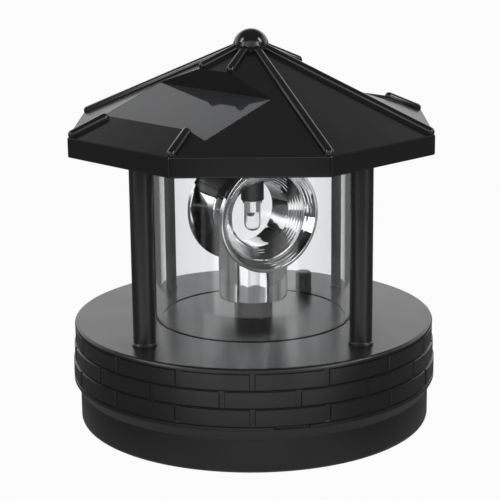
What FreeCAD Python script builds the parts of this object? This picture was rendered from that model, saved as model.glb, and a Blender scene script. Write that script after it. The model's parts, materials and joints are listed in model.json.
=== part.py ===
"""Garden lighthouse lantern: a solar beacon head with a turning double-bell reflector.

The frame stands on its base: +Z is up, the origin is the centre of the base's underside,
and -Y is the front. Lengths are millimetres. Every driving size is a cell of the sheet.
"""
import FreeCAD, Part
import Sketcher
import math
import os

DRIVING_SIZES = {
    # Base cup: the lower wall that drops into a tower top.
    "spigot_radius": 52.2,
    "spigot_height": 9.9,
    "foot_round": 1.5,
    "floor_wall": 2.0,
    "seam_gap": 1.3,
    "cup_wall": 1.6,
    "cup_gap": 2.0,
    # Base shell: the deck and its skirt of three brick courses.
    "deck_wall": 2.0,
    "band_overhang": 1.8,
    "band_chamfer": 3.2,
    "band_foot": 1.3,
    "skirt_clearance": 0.1,
    "course_setback": 0.35,
    "course_height": 4.95,
    "bed_joint": 0.5,
    "bed_joint_depth": 0.35,
    "head_joint": 1.6,
    "head_joint_depth": 0.4,
    "rim_height": 1.25,
    "rim_round": 0.8,
    "bricks": 16,
    "course_shift": 13.6,
    "notch_width": 10.0,
    "notch_height": 1.0,
    "notch_depth": 0.9,
    "notch_angle": 11.5,
    # Bosses and screws that close the base.
    "base_screw_inset": 6.3,
    "base_boss_radius": 3.4,
    "cup_boss_height": 2.4,
    "screw_shank": 1.1,
    "screw_fit": 0.15,
    "screw_head": 2.4,
    "screw_head_height": 1.0,
    "screw_bite": 7.0,
    # Posts.
    "post_radius": 3.2,
    "post_inset": 10.9,
    "tenon_shoulder": 1.2,
    "tenon_fit": 0.05,
    "pilot_spare": 2.0,
    "wire_bore": 1.3,
    # Lens tube, and the flat gasket in the groove at each of its ends.
    "lens_radius": 29.0,
    "lens_wall": 1.5,
    "lens_height": 53.5,
    "lens_groove": 1.0,
    "lens_fit": 0.1,
    "seal_height": 0.4,
    # Ceiling plate under the roof.
    "ceiling_wall": 2.0,
    "ceiling_fit": 0.15,
    # Roof: an octagonal pyramid over a straight fascia, ribbed on its ridges.
    "eave_drop": 1.4,
    "fascia_height": 5.6,
    "roof_overhang": 12.5,
    "ridge_slope": 0.43,
    "roof_wall": 2.0,
    "rib_radius": 1.3,
    "rib_lift": 0.2,
    "rib_inset": 1.6,
    "roof_screw_inset": 3.1,
    "roof_boss_radius": 3.0,
    "finial_radius": 5.2,
    "finial_sink": 1.4,
    "finial_stem": 1.8,
    "finial_stem_length": 9.0,
    # Solar panels, set into two opposite faces of the roof.
    "panel_inset": 11.37,
    "panel_length": 25.2,
    "panel_half_width": 23.1,
    "panel_thickness": 1.5,
    "panel_fit": 0.1,
    "panel_tray_wall": 1.2,
    # Lamp on the axis.
    "lamp_drop": 5.8,
    "lamp_length": 9.5,
    "lamp_radius": 2.5,
    "lamp_flange_width": 0.4,
    "lamp_flange_height": 1.0,
    "holder_wall": 0.5,
    "holder_bore": 2.2,
    "holder_flange_width": 1.8,
    "holder_flange_height": 1.2,
    "lead_radius": 0.25,
    "lead_pitch": 2.54,
    # Circuit board.
    "board_length": 28.0,
    "board_width": 20.0,
    "board_wall": 1.6,
    "board_stand": 2.1,
    "board_screw_inset": 3.0,
    # Reflector: a hub with two opposite bells.
    "bell_rise": 31.5,
    "bell_reach": 10.5,
    "bell_radius": 16.3,
    "bell_rim_wall": 1.8,
    "bell_lip": 1.0,
    "mouth_depth": 3.3,
    "crease_width": 3.4,
    "crease_depth": 2.6,
    "throat_radius": 9.6,
    "barrel_wall": 1.2,
    "barrel_inset": 1.0,
    "hub_radius": 10.2,
    "hub_rise": 5.9,
    "hub_wall": 1.2,
    "hub_web": 2.4,
    "hub_sleeve": 3.2,
    "lamp_hole_gap": 1.0,
    "rest_angle": 31.0,
    # Stationary boss round the drive shaft.
    "boss_radius": 5.7,
    "boss_gap": 0.6,
    "bush_wall": 1.2,
    "bush_flange_width": 0.9,
    "bush_flange_height": 0.8,
    "shaft_radius": 1.5,
    "shaft_bite": 11.4,
    "running_gap": 0.05,
    "seat_gap": 0.02,
    # Gear train.
    "gearbox_height": 9.1,
    "gear_module": 0.5,
    "gear_backlash": 0.14,
    "output_teeth": 48,
    "idler_teeth": 40,
    "pinion_teeth": 12,
    "motor_distance": 18.0,
    "plate_wall": 1.5,
    "plate_side": 9.0,
    "plate_front": 9.5,
    "plate_behind": 16.5,
    "plate_margin": 4.5,
    "plate_boss_radius": 2.6,
    "switch_notch": 1.6,
    "idler_pin_radius": 1.0,
    "idler_rise": 1.6,
    "idler_face": 2.0,
    "output_rise": 4.6,
    "output_face": 2.5,
    "gear_play": 0.2,
    "gear_hub": 2.4,
    # Motor.
    "motor_radius": 12.2,
    "motor_height": 12.3,
    "motor_nose_radius": 3.1,
    "motor_nose_height": 1.4,
    "motor_shaft_radius": 1.0,
    "motor_shaft_depth": 8.7,
    "pinion_rise": 1.2,
    "pinion_face": 2.8,
    "motor_screw_radius": 6.5,
    "small_shank": 0.8,
    "small_head": 1.6,
    "small_head_height": 1.0,
    "small_bite": 1.2,
    # Power switch.
    "switch_clearance": 3.85,
    "switch_angle": 60.0,
    "switch_side": 8.5,
    "switch_depth": 7.0,
    "button_radius": 2.7,
    "button_rise": 5.7,
    "button_stem": 1.6,
    "button_stem_depth": 3.2,
    "button_gap": 0.3,
    "button_round": 0.7,
    "button_travel": 1.5,
    # Battery, its hatch and its contacts.
    "battery_radius": 7.1,
    "battery_length": 49.5,
    "battery_inset": 29.3,
    "battery_lift": 0.3,
    "battery_nub": 2.75,
    "battery_nub_height": 1.0,
    "battery_end_room": 6.9,
    "battery_side_room": 4.2,
    "hatch_gap": 0.2,
    "tray_wall": 1.5,
    "tray_rise": 0.6,
    "tab_length": 8.2,
    "tab_width": 10.4,
    "tongue_length": 3.0,
    "tongue_width": 8.0,
    "tongue_wall": 1.2,
    "contact_wall": 0.4,
    "contact_width": 8.0,
    # Wiring.
    "wire_radius": 0.7,
    "wire_bend_roof": 2.6,
    "wire_bend_base": 8.0,
    "wire_drop": 6.1,
}

OCTAGON_SIDES = 8
OCTAGON_HALF_ANGLE = 22.5
APOTHEM_RATIO = math.cos(math.radians(OCTAGON_HALF_ANGLE))
DIAGONAL_RATIO = math.sqrt(0.5)
PRESSURE_ANGLE = math.radians(20.0)
ADDENDUM = 0.9
DEDENDUM = 1.25
HALF_TURN = 180.0
FRONT_PANEL_ANGLE = 225.0
REAR_PANEL_ANGLE = 45.0
POST_ANGLES = {"post_back_right": 45.0, "post_back_left": 135.0, "post_front_left": 225.0,
               "post_front_right": 315.0}
WIRED_POST = "post_back_left"

doc = FreeCAD.newDocument("lighthouse_lantern")
sheet = doc.addObject("Spreadsheet::Sheet", "Sizes")
for row_number, (alias, number) in enumerate(DRIVING_SIZES.items(), start=1):
    sheet.set("A%d" % row_number, alias)
    sheet.set("B%d" % row_number, str(number))
    sheet.setAlias("B%d" % row_number, alias)
doc.recompute()
sub_parts = {}
derived_sizes = {}


class Size:
    """A length that carries its number and the sheet expression that gives it."""

    def __init__(self, number, text):
        self.number = float(number)
        self.text = text

    def joined(self, other, sign, number):
        return Size(number, "(%s %s %s)" % (self.text, sign, as_size(other).text))

    def __add__(self, other):
        return self.joined(other, "+", self.number + as_size(other).number)

    def __sub__(self, other):
        return self.joined(other, "-", self.number - as_size(other).number)

    def __mul__(self, other):
        return self.joined(other, "*", self.number * as_size(other).number)

    def __truediv__(self, other):
        return self.joined(other, "/", self.number / as_size(other).number)

    def __neg__(self):
        return Size(-self.number, "(0 - %s)" % self.text)

    def root(self):
        """The square root."""
        return Size(math.sqrt(self.number), "sqrt(%s)" % self.text)

    def __radd__(self, other):
        return as_size(other) + self

    def __rsub__(self, other):
        return as_size(other) - self

    def __rmul__(self, other):
        return as_size(other) * self

    def __float__(self):
        return self.number


def as_size(value):
    """Give a plain number the form of a size."""
    if isinstance(value, Size):
        return value
    return Size(value, repr(float(value)))


def size(name):
    """The driving or derived size of that name."""
    if name in derived_sizes:
        return derived_sizes[name]
    return Size(sheet.get(name), "Sizes.%s" % name)


def derive(name, value):
    """Name a size that follows from others."""
    derived_sizes[name] = as_size(value)


def bind(thing, path, value):
    """Set one property of an object by the expression of a size."""
    thing.setExpression(path, as_size(value).text)


def polar(radius, degrees):
    """The plan position at a radius and an angle from +X."""
    angle = math.radians(degrees)
    return radius * math.cos(angle), radius * math.sin(angle)


# ---------------------------------------------------------------- bodies and features


def new_body(label):
    """An empty body that will be one sub-part."""
    body = doc.addObject("PartDesign::Body", label)
    body.Label = label
    sub_parts[label] = body
    return body


def origin_item(body, role):
    """A plane or axis of the body's own origin."""
    return [item for item in body.Origin.OriginFeatures if item.Role == role][0]


def new_sketch(body, role="XY_Plane", height=0.0, turn=0.0):
    """A sketch on one of the body's origin planes, lifted along its normal or turned in plan."""
    sketch = body.newObject("Sketcher::SketchObject", "Sketch")
    sketch.AttachmentSupport = [(origin_item(body, role), "")]
    sketch.MapMode = "FlatFace"
    if turn:
        sketch.AttachmentOffset = FreeCAD.Placement(
            FreeCAD.Vector(), FreeCAD.Rotation(FreeCAD.Vector(0, 1, 0), turn))
    if float(as_size(height)):
        bind(sketch, "AttachmentOffset.Base.x", height * math.sin(math.radians(turn)))
        bind(sketch, "AttachmentOffset.Base.z", height * math.cos(math.radians(turn)))
    return sketch


def hold_point(sketch, line, end, across, up):
    """Hold one end of a line, or a circle's centre, at its two sizes from the origin."""
    for kind, value, axis in (("DistanceX", across, -2), ("DistanceY", up, -1)):
        value = as_size(value)
        if value.number == 0.0:
            sketch.addConstraint(Sketcher.Constraint("PointOnObject", line, end, axis))
            continue
        index = sketch.addConstraint(Sketcher.Constraint(kind, -1, 1, line, end, value.number))
        if "Sizes." in value.text:
            sketch.setExpression("Constraints[%d]" % index, value.text)


def draw_outline(sketch, points):
    """Join (across, up) points by straight lines into a closed outline."""
    corners = [FreeCAD.Vector(float(as_size(across)), float(as_size(up)), 0)
               for across, up in points]
    lines = []
    for index, corner in enumerate(corners):
        following = corners[(index + 1) % len(corners)]
        lines.append(sketch.addGeometry(Part.LineSegment(corner, following), False))
    for index, line in enumerate(lines):
        sketch.addConstraint(Sketcher.Constraint("Coincident", line, 2,
                                                 lines[(index + 1) % len(lines)], 1))
    for line, (across, up) in zip(lines, points):
        hold_point(sketch, line, 1, across, up)


def draw_box(sketch, left, low, right, high):
    """Draw a rectangle between two corners."""
    draw_outline(sketch, [(left, low), (right, low), (right, high), (left, high)])


def draw_circle(sketch, across, up, radius):
    """Draw a circle of a bound radius round a bound centre."""
    centre = FreeCAD.Vector(float(as_size(across)), float(as_size(up)), 0)
    circle = sketch.addGeometry(
        Part.Circle(centre, FreeCAD.Vector(0, 0, 1), float(as_size(radius))), False)
    hold_point(sketch, circle, 3, across, up)
    index = sketch.addConstraint(Sketcher.Constraint("Radius", circle, float(as_size(radius))))
    if "Sizes." in as_size(radius).text:
        sketch.setExpression("Constraints[%d]" % index, as_size(radius).text)


def draw_octagon(sketch, corner_radius):
    """Draw a regular octagon with a flat side towards each of the two plan axes."""
    corners = []
    for side in range(OCTAGON_SIDES):
        across, up = polar(1.0, OCTAGON_HALF_ANGLE + side * 360.0 / OCTAGON_SIDES)
        corners.append((corner_radius * across, corner_radius * up))
    draw_outline(sketch, corners)


def add_feature(body, kind, sketch, label):
    """Add a sketched feature of that kind to a body."""
    feature = body.newObject("PartDesign::%s" % kind, label)
    feature.Profile = sketch
    sketch.Visibility = False
    return feature


def pad(body, sketch, length, label, down=False, both_ways=False):
    """Raise a sketch into a solid."""
    feature = add_feature(body, "Pad", sketch, label)
    feature.Reversed = down
    feature.SideType = "Symmetric" if both_ways else "One side"
    bind(feature, "Length", length)
    return feature


def pocket(body, sketch, length, label, up=False, both_ways=False):
    """Cut a sketch's shape into a solid, downwards unless told otherwise."""
    feature = add_feature(body, "Pocket", sketch, label)
    feature.Reversed = up
    feature.SideType = "Symmetric" if both_ways else "One side"
    bind(feature, "Length", length)
    return feature


def revolve(body, sketch, label, kind="Revolution"):
    """Turn a sketch a full circle round its upright axis."""
    feature = add_feature(body, kind, sketch, label)
    feature.ReferenceAxis = (sketch, ["V_Axis"])
    feature.Angle = 360.0
    return feature


def repeat_round(body, feature, count, label):
    """Repeat a feature evenly round the upright axis and make it the body's last step."""
    pattern = body.newObject("PartDesign::PolarPattern", label)
    pattern.Originals = [feature]
    pattern.Axis = (origin_item(body, "Z_Axis"), [""])
    pattern.Angle = 360.0
    if isinstance(count, Size):
        bind(pattern, "Occurrences", count)
    else:
        pattern.Occurrences = count
    body.Tip = pattern
    return pattern


def round_edges(body, chosen, radius, label):
    """Round those edges of the body's last feature that the test chooses."""
    doc.recompute()
    base = body.Tip
    names = ["Edge%d" % number for number, edge in enumerate(base.Shape.Edges, start=1)
             if chosen(edge)]
    feature = body.newObject("PartDesign::Fillet", label)
    feature.Base = (base, names)
    bind(feature, "Radius", radius)
    return feature


def circle_edge_at(radius, height):
    """A test for circular edges round the upright axis at a radius and a height."""
    def chosen(edge):
        curve = edge.Curve
        if not isinstance(curve, Part.Circle):
            return False
        near_radius = abs(curve.Radius - float(radius)) < 0.01
        return near_radius and abs(curve.Center.z - float(height)) < 0.01
    return chosen


def upright_edge(edge):
    """A test for straight edges that run straight up."""
    box = edge.BoundBox
    return box.XLength < 0.01 and box.YLength < 0.01


def stand_at(body, across, back, turn=0.0):
    """Put a body at a plan position, turned about the upright."""
    body.Placement = FreeCAD.Placement(
        FreeCAD.Vector(float(as_size(across)), float(as_size(back)), 0),
        FreeCAD.Rotation(FreeCAD.Vector(0, 0, 1), turn))


def turned_part(label, profile, across=0.0, back=0.0):
    """A body revolved from one (radius, height) profile, stood at a plan position."""
    body = new_body(label)
    sketch = new_sketch(body, "XZ_Plane")
    draw_outline(sketch, profile)
    revolve(body, sketch, "Turned")
    stand_at(body, across, back)
    return body


def shape_part(label, shape, place=None):
    """A sub-part whose shape is made directly."""
    part = doc.addObject("Part::Feature", label)
    part.Label = label
    part.Shape = shape
    part.Placement = place or FreeCAD.Placement()
    sub_parts[label] = part
    return part


def upright_cylinder(radius, low, high, across=0.0, back=0.0):
    """A plain cylinder between two heights, as a shape."""
    foot = FreeCAD.Vector(float(as_size(across)), float(as_size(back)), float(low))
    return Part.makeCylinder(float(radius), float(high) - float(low), foot)


def fused_primitives(label, pieces):
    """A sub-part fused from bound primitives, each given as (kind, height, sizes)."""
    primitives = []
    for kind, height, bound_sizes in pieces:
        primitive = doc.addObject("Part::%s" % kind, "%s_%s" % (label, kind.lower()))
        for path, value in bound_sizes.items():
            bind(primitive, path, value)
        bind(primitive, "Placement.Base.z", height)
        primitives.append(primitive)
    fused = doc.addObject("Part::MultiFuse", label)
    fused.Label = label
    fused.Shapes = primitives
    sub_parts[label] = fused
    return fused


# ---------------------------------------------------------------- shared derived sizes

# Heights, from the foot up.
derive("band_low", size("spigot_height") + size("band_chamfer"))
derive("course_low", size("band_low") + size("band_foot"))
derive("deck_top", size("course_low") + 3 * size("course_height") + size("rim_height"))
derive("ceiling_low", size("deck_top") + size("lens_height"))
derive("eave_low", size("ceiling_low") - size("eave_drop"))
derive("hub_low", size("deck_top") + size("hub_rise"))
derive("bell_height", size("deck_top") + size("bell_rise"))
derive("lamp_tip", size("bell_height") - size("lamp_drop"))
derive("lamp_top", size("lamp_tip") + size("lamp_length"))
derive("button_top", size("deck_top") + size("button_rise"))
deck_low = size("deck_top") - size("deck_wall")
derive("cup_top", deck_low - size("cup_gap"))
derive("plate_top", deck_low - size("gearbox_height"))
derive("idler_low", size("plate_top") + size("idler_rise"))
derive("output_low", size("plate_top") + size("output_rise"))
derive("pinion_low", size("plate_top") + size("pinion_rise"))
base_boss_low = size("floor_wall") + size("cup_boss_height")
ceiling_high = size("ceiling_low") + size("ceiling_wall")
boss_top = size("hub_low") - size("boss_gap")
bush_low = deck_low - size("bush_flange_height")
plate_low = size("plate_top") - size("plate_wall")
derive("motor_shaft_low", plate_low - size("motor_shaft_depth"))
derive("wire_low", plate_low - size("wire_drop"))
board_low = ceiling_high + size("board_stand")
board_high = board_low + size("board_wall")

# Distances from the axis.
cup_outer = size("spigot_radius") - size("seam_gap")
cup_inner = cup_outer - size("cup_wall")
skirt_bore = cup_outer + size("skirt_clearance")
derive("band_radius", size("spigot_radius") + size("band_overhang"))
derive("base_screw_radius", cup_inner - size("base_screw_inset"))
derive("post_circle", size("band_radius") - size("post_inset"))
derive("roof_corner", size("post_circle") + size("roof_overhang"))
derive("rib_end", size("roof_corner") - size("rib_inset"))
derive("roof_screw_circle", size("post_circle") - size("roof_screw_inset"))
derive("panel_outer", size("roof_corner") * APOTHEM_RATIO - size("panel_inset"))
derive("panel_inner", size("panel_outer") - size("panel_length"))
derive("switch_circle", size("lens_radius") + size("switch_clearance"))
battery_back = size("battery_inset") - cup_inner

# Fits.
derive("tenon_radius", size("post_radius") - size("tenon_shoulder"))
derive("pilot_depth", size("screw_bite") + size("pilot_spare"))
derive("bush_radius", size("shaft_radius") + size("bush_wall"))
derive("bush_flange", size("bush_radius") + size("bush_flange_width"))
derive("lamp_flange_radius", size("lamp_radius") + size("lamp_flange_width"))
derive("holder_radius", size("lamp_flange_radius") + size("holder_wall"))
derive("holder_flange_radius", size("holder_radius") + size("holder_flange_width"))
derive("lamp_hole", size("holder_radius") + size("lamp_hole_gap"))
derive("crease_radius", size("throat_radius") + size("crease_width"))
derive("crease_reach", size("bell_reach") - size("mouth_depth"))
derive("throat_reach", size("crease_reach") - size("crease_depth"))
derive("hatch_length", size("battery_length") + size("battery_end_room"))
derive("hatch_width", 2 * size("battery_radius") + size("battery_side_room"))
battery_axis = size("floor_wall") + size("battery_lift") + size("battery_radius")
derive("tray_height", battery_axis + size("tray_rise"))
tenon_hole = size("tenon_radius") + size("tenon_fit")
screw_hole = size("screw_shank") + size("screw_fit")
screw_pilot = size("screw_shank") + size("seat_gap")
small_hole = size("small_shank") + size("screw_fit")
small_pilot = size("small_shank") + size("seat_gap")

# The roof's slopes: the ridge falls by the slope, and a facet by a little more.
fascia_top = size("eave_low") + size("fascia_height")
facet_slope = size("ridge_slope") / APOTHEM_RATIO
roof_apex = fascia_top + size("ridge_slope") * size("roof_corner")
roof_inner_corner = size("roof_corner") - size("roof_wall") / APOTHEM_RATIO
derive("finial_centre", roof_apex - size("finial_sink"))

# The gear centres: the idler stands where its two meshes meet.
output_radius = size("gear_module") * size("output_teeth") / 2
idler_radius = size("gear_module") * size("idler_teeth") / 2
pinion_radius = size("gear_module") * size("pinion_teeth") / 2
output_tip = output_radius + size("gear_module") * ADDENDUM
motor_back = size("motor_distance")
first_reach = output_radius + pinion_radius
second_reach = idler_radius + pinion_radius
idler_back = (motor_back * motor_back + first_reach * first_reach
              - second_reach * second_reach) / (2 * motor_back)
idler_across = -(first_reach * first_reach - idler_back * idler_back).root()

switch_across = size("switch_circle") * math.cos(math.radians(float(size("switch_angle"))))
switch_back = size("switch_circle") * math.sin(math.radians(float(size("switch_angle"))))

plate_half = output_tip + size("plate_side")
plate_back = motor_back + size("plate_behind")
notch_across = switch_across - size("switch_side") / 2 - size("switch_notch")
notch_back = switch_back - size("switch_side") / 2 - size("switch_notch")
PLATE_SCREWS = [
    (plate_half - size("plate_margin"), size("plate_margin") - size("plate_front")),
    (size("plate_margin") - plate_half, size("plate_margin") - size("plate_front")),
    (size("plate_margin") - plate_half, plate_back - size("plate_margin")),
    (plate_half - size("plate_margin"), notch_back - size("plate_margin")),
]


def course_radius(course):
    """The outer radius of a brick course, counted from the lowest."""
    return size("band_radius") - size("course_setback") * course


def bed_height(course):
    """The height of the joint under a brick course, counted from the lowest."""
    return size("course_low") + size("course_height") * course


# ---------------------------------------------------------------- base


def base_cup():
    """The lower cup: floor, spigot wall, battery tray and screw bosses."""
    body = new_body("base_cup")
    sketch = new_sketch(body, "XZ_Plane")
    draw_outline(sketch, [
        (0, 0), (size("spigot_radius"), 0), (size("spigot_radius"), size("spigot_height")),
        (cup_outer, size("spigot_height")), (cup_outer, size("cup_top")),
        (cup_inner, size("cup_top")), (cup_inner, size("floor_wall")), (0, size("floor_wall"))])
    revolve(body, sketch, "Cup")
    round_edges(body, circle_edge_at(size("spigot_radius"), 0), size("foot_round"), "Foot")

    bosses = new_sketch(body, height=size("floor_wall"))
    draw_circle(bosses, size("base_screw_radius"), 0, size("base_boss_radius"))
    boss = pad(body, bosses, size("cup_boss_height"), "Boss")
    repeat_round(body, boss, 4, "Bosses")
    recess = new_sketch(body)
    draw_circle(recess, size("base_screw_radius"), 0, size("screw_head") + size("screw_fit"))
    sunk = pocket(body, recess, size("floor_wall") - size("button_gap"), "Recess", up=True)
    repeat_round(body, sunk, 4, "Recesses")
    holes = new_sketch(body)
    draw_circle(holes, size("base_screw_radius"), 0, screw_hole)
    drilled = pocket(body, holes, base_boss_low, "ScrewHole", up=True)
    repeat_round(body, drilled, 4, "ScrewHoles")

    tray = new_sketch(body)
    wall_across = size("hatch_length") / 2 + size("tray_wall")
    wall_back = size("hatch_width") / 2 + size("tray_wall")
    draw_box(tray, -wall_across, battery_back - wall_back, wall_across, battery_back + wall_back)
    pad(body, tray, size("tray_height"), "TrayBlock")
    bridge = new_sketch(body)
    bridge_end = wall_across + size("tab_length") + size("tray_wall")
    bridge_half = size("tab_width") / 2 + size("tray_wall")
    draw_box(bridge, wall_across - size("tray_wall"), battery_back - bridge_half,
             bridge_end, battery_back + bridge_half)
    pad(body, bridge, size("tray_height") - size("floor_wall"), "TabBlock")
    hatch = new_sketch(body)
    draw_box(hatch, -size("hatch_length") / 2, battery_back - size("hatch_width") / 2,
             size("hatch_length") / 2, battery_back + size("hatch_width") / 2)
    pocket(body, hatch, size("tray_height"), "Hatch", up=True)
    tab = new_sketch(body)
    draw_box(tab, 0, battery_back - size("tab_width") / 2,
             size("hatch_length") / 2 + size("tab_length"), battery_back + size("tab_width") / 2)
    pocket(body, tab, size("floor_wall"), "TabSeat", up=True)
    pilot = new_sketch(body)
    draw_circle(pilot, tab_screw_across, battery_back, screw_pilot)
    pocket(body, pilot, size("tray_height") - 2 * size("cup_wall"), "TabPilot", up=True)
    slot = new_sketch(body, height=size("floor_wall"))
    tongue_half = size("tongue_width") / 2 + size("hatch_gap")
    draw_box(slot, -wall_across - size("tongue_length"), battery_back - tongue_half,
             0, battery_back + tongue_half)
    pocket(body, slot, size("tongue_wall") + size("hatch_gap"), "TongueSlot", up=True)


tab_screw_across = size("hatch_length") / 2 + size("tab_length") / 2


def base_shell():
    """The deck with its shaft boss, and the skirt of brick courses."""
    body = new_body("base_shell")
    sketch = new_sketch(body, "XZ_Plane")
    bush_hole = size("bush_radius") + size("seat_gap")
    groove_inner = size("lens_radius") - size("lens_wall") - size("lens_fit")
    groove_outer = size("lens_radius") + size("lens_fit")
    groove_floor = size("deck_top") - size("lens_groove")
    outline = [(bush_hole, boss_top), (size("boss_radius"), boss_top),
               (size("boss_radius"), size("deck_top")), (groove_inner, size("deck_top")),
               (groove_inner, groove_floor), (groove_outer, groove_floor),
               (groove_outer, size("deck_top")), (course_radius(2), size("deck_top"))]
    for course in (3, 2, 1, 0):
        above = course_radius(min(course, 2))
        below = course_radius(max(course - 1, 0))
        groove = above - size("bed_joint_depth")
        high = bed_height(course) + size("bed_joint") / 2
        low = bed_height(course) - size("bed_joint") / 2
        outline += [(above, high), (groove, high), (groove, low), (below, low)]
    outline += [(size("band_radius"), size("band_low")),
                (size("spigot_radius"), size("spigot_height")),
                (skirt_bore, size("spigot_height")), (skirt_bore, deck_low),
                (bush_hole, deck_low)]
    draw_outline(sketch, outline)
    revolve(body, sketch, "Shell")
    round_edges(body, circle_edge_at(course_radius(2), size("deck_top")),
                size("rim_round"), "Rim")

    for course in (0, 1, 2):
        turn = float(size("course_shift")) if course == 1 else 0.0
        floor = course_radius(course) - size("head_joint_depth")
        joint = new_sketch(body, "XZ_Plane", floor, turn)
        draw_box(joint, -size("head_joint") / 2, bed_height(course),
                 size("head_joint") / 2, bed_height(course + 1))
        cut = pocket(body, joint, 3 * size("head_joint_depth"), "HeadJoint", up=True)
        repeat_round(body, cut, size("bricks"), "HeadJoints")

    turn = float(size("notch_angle"))
    notch = new_sketch(body, "XZ_Plane", size("spigot_radius") - size("notch_depth"), turn)
    draw_box(notch, -size("notch_width") / 2, size("spigot_height") - size("notch_height"),
             size("notch_width") / 2, size("spigot_height") + size("notch_height"))
    pocket(body, notch, 3 * size("notch_depth"), "PryNotch", up=True)

    bosses = new_sketch(body, height=deck_low)
    draw_circle(bosses, size("base_screw_radius"), 0, size("base_boss_radius"))
    boss = pad(body, bosses, deck_low - base_boss_low, "Boss", down=True)
    repeat_round(body, boss, 4, "Bosses")
    pilots = new_sketch(body, height=base_boss_low)
    draw_circle(pilots, size("base_screw_radius"), 0, screw_pilot)
    pilot = pocket(body, pilots, size("screw_bite") + size("cup_wall"), "Pilot", up=True)
    repeat_round(body, pilot, 4, "Pilots")

    plate_bosses = new_sketch(body, height=deck_low)
    for across, back in PLATE_SCREWS:
        draw_circle(plate_bosses, across, back, size("plate_boss_radius"))
        draw_circle(plate_bosses, across, back, screw_pilot)
    pad(body, plate_bosses, deck_low - size("plate_top"), "PlateBosses", down=True)

    holes = new_sketch(body, height=size("deck_top"))
    for angle in POST_ANGLES.values():
        across, back = polar(1.0, angle)
        draw_circle(holes, size("post_circle") * across, size("post_circle") * back, tenon_hole)
    draw_circle(holes, switch_across, switch_back, size("button_radius") + size("button_gap"))
    pocket(body, holes, size("deck_wall"), "DeckHoles")


def battery_cover():
    """The hatch cover: a plate with a tongue at one end and a screwed tab at the other."""
    body = new_body("battery_cover")
    gap = size("hatch_gap")
    half_length = size("hatch_length") / 2 - gap
    half_width = size("hatch_width") / 2 - gap
    tab_half = size("tab_width") / 2 - gap
    tab_end = size("hatch_length") / 2 + size("tab_length") - gap
    plate = new_sketch(body)
    draw_outline(plate, [
        (-half_length, battery_back - half_width), (half_length, battery_back - half_width),
        (half_length, battery_back - tab_half), (tab_end, battery_back - tab_half),
        (tab_end, battery_back + tab_half), (half_length, battery_back + tab_half),
        (half_length, battery_back + half_width), (-half_length, battery_back + half_width)])
    pad(body, plate, size("floor_wall"), "Plate")
    tongue = new_sketch(body, height=size("floor_wall"))
    draw_box(tongue, -half_length - size("tongue_length"),
             battery_back - size("tongue_width") / 2,
             -half_length + size("tongue_length"), battery_back + size("tongue_width") / 2)
    pad(body, tongue, size("tongue_wall"), "Tongue")
    recess = new_sketch(body)
    draw_circle(recess, tab_screw_across, battery_back, size("screw_head") + size("screw_fit"))
    pocket(body, recess, size("screw_head_height") + size("battery_lift") / 3, "Recess", up=True)
    hole = new_sketch(body)
    draw_circle(hole, tab_screw_across, battery_back, screw_hole)
    pocket(body, hole, size("floor_wall"), "ScrewHole", up=True)


def battery():
    """A standard AA cell lying along X above its hatch."""
    half = size("battery_length") / 2
    body = turned_part("battery", [
        (0, -half), (size("battery_radius"), -half), (size("battery_radius"), half),
        (size("battery_nub"), half), (size("battery_nub"), half + size("battery_nub_height")),
        (0, half + size("battery_nub_height"))])
    end_room = size("hatch_length") / 2 - size("contact_wall") - size("battery_lift")
    across = end_room - size("battery_nub_height") - half
    body.Placement = FreeCAD.Placement(
        FreeCAD.Vector(float(across), float(battery_back), float(battery_axis)),
        FreeCAD.Rotation(FreeCAD.Vector(0, 1, 0), 90))


def battery_contacts():
    """The flat contact at the cell's nub and the sprung leaf at its other end."""
    wall = float(size("contact_wall"))
    width = float(size("contact_width"))
    end = float(size("hatch_length") / 2)
    low = float(size("floor_wall") + size("tongue_wall") + size("battery_lift"))
    high = float(size("tray_height"))
    back = float(battery_back) - width / 2
    flat = Part.makeBox(wall, width, high - low, FreeCAD.Vector(end - wall, back, low))
    nub_end = end - wall - float(size("battery_lift"))
    cell_end = nub_end - float(size("battery_nub_height") + size("battery_length"))
    bow = cell_end - float(size("battery_lift")) - wall
    middle = (low + high) / 2
    leaf = [(-end, low), (-end + wall, low), (bow + wall, middle), (-end + wall, high),
            (-end, high), (-end, high - wall), (bow, middle), (-end, low + wall)]
    corners = [FreeCAD.Vector(across, back, up) for across, up in leaf]
    face = Part.Face(Part.makePolygon(corners + corners[:1]))
    shape_part("battery_contacts", Part.makeCompound(
        [flat, face.extrude(FreeCAD.Vector(0, width, 0))]))


# ---------------------------------------------------------------- gear train and motor


def involute(radius, base):
    """The involute angle at a radius, for a base circle."""
    pressure = math.acos(min(1.0, base / radius))
    return math.tan(pressure) - pressure


def gear_shape(teeth, face, low, first_tooth):
    """A spur gear: each tooth has two involute flanks, drawn from root to tip."""
    module = float(size("gear_module"))
    pitch = module * teeth / 2
    base = pitch * math.cos(PRESSURE_ANGLE)
    root = pitch - DEDENDUM * module
    tip = pitch + ADDENDUM * module
    half_pitch_tooth = math.pi / (2 * teeth) - float(size("gear_backlash")) / (4 * pitch)
    half_base_tooth = half_pitch_tooth + involute(pitch, base)
    flank = []
    for radius in (root, max(root, base), pitch, tip):
        angle = half_base_tooth - involute(max(radius, base), base)
        if not flank or radius > flank[-1][0] + 0.01:
            flank.append((radius, angle))
    corners = []
    for tooth in range(teeth):
        centre = math.radians(first_tooth) + tooth * 2 * math.pi / teeth
        for radius, angle in flank:
            corners.append(polar(radius, math.degrees(centre - angle)))
        for radius, angle in reversed(flank):
            corners.append(polar(radius, math.degrees(centre + angle)))
    vectors = [FreeCAD.Vector(across, back, float(low)) for across, back in corners]
    outline = Part.Face(Part.makePolygon(vectors + vectors[:1]))
    return outline.extrude(FreeCAD.Vector(0, 0, float(face)))


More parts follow.
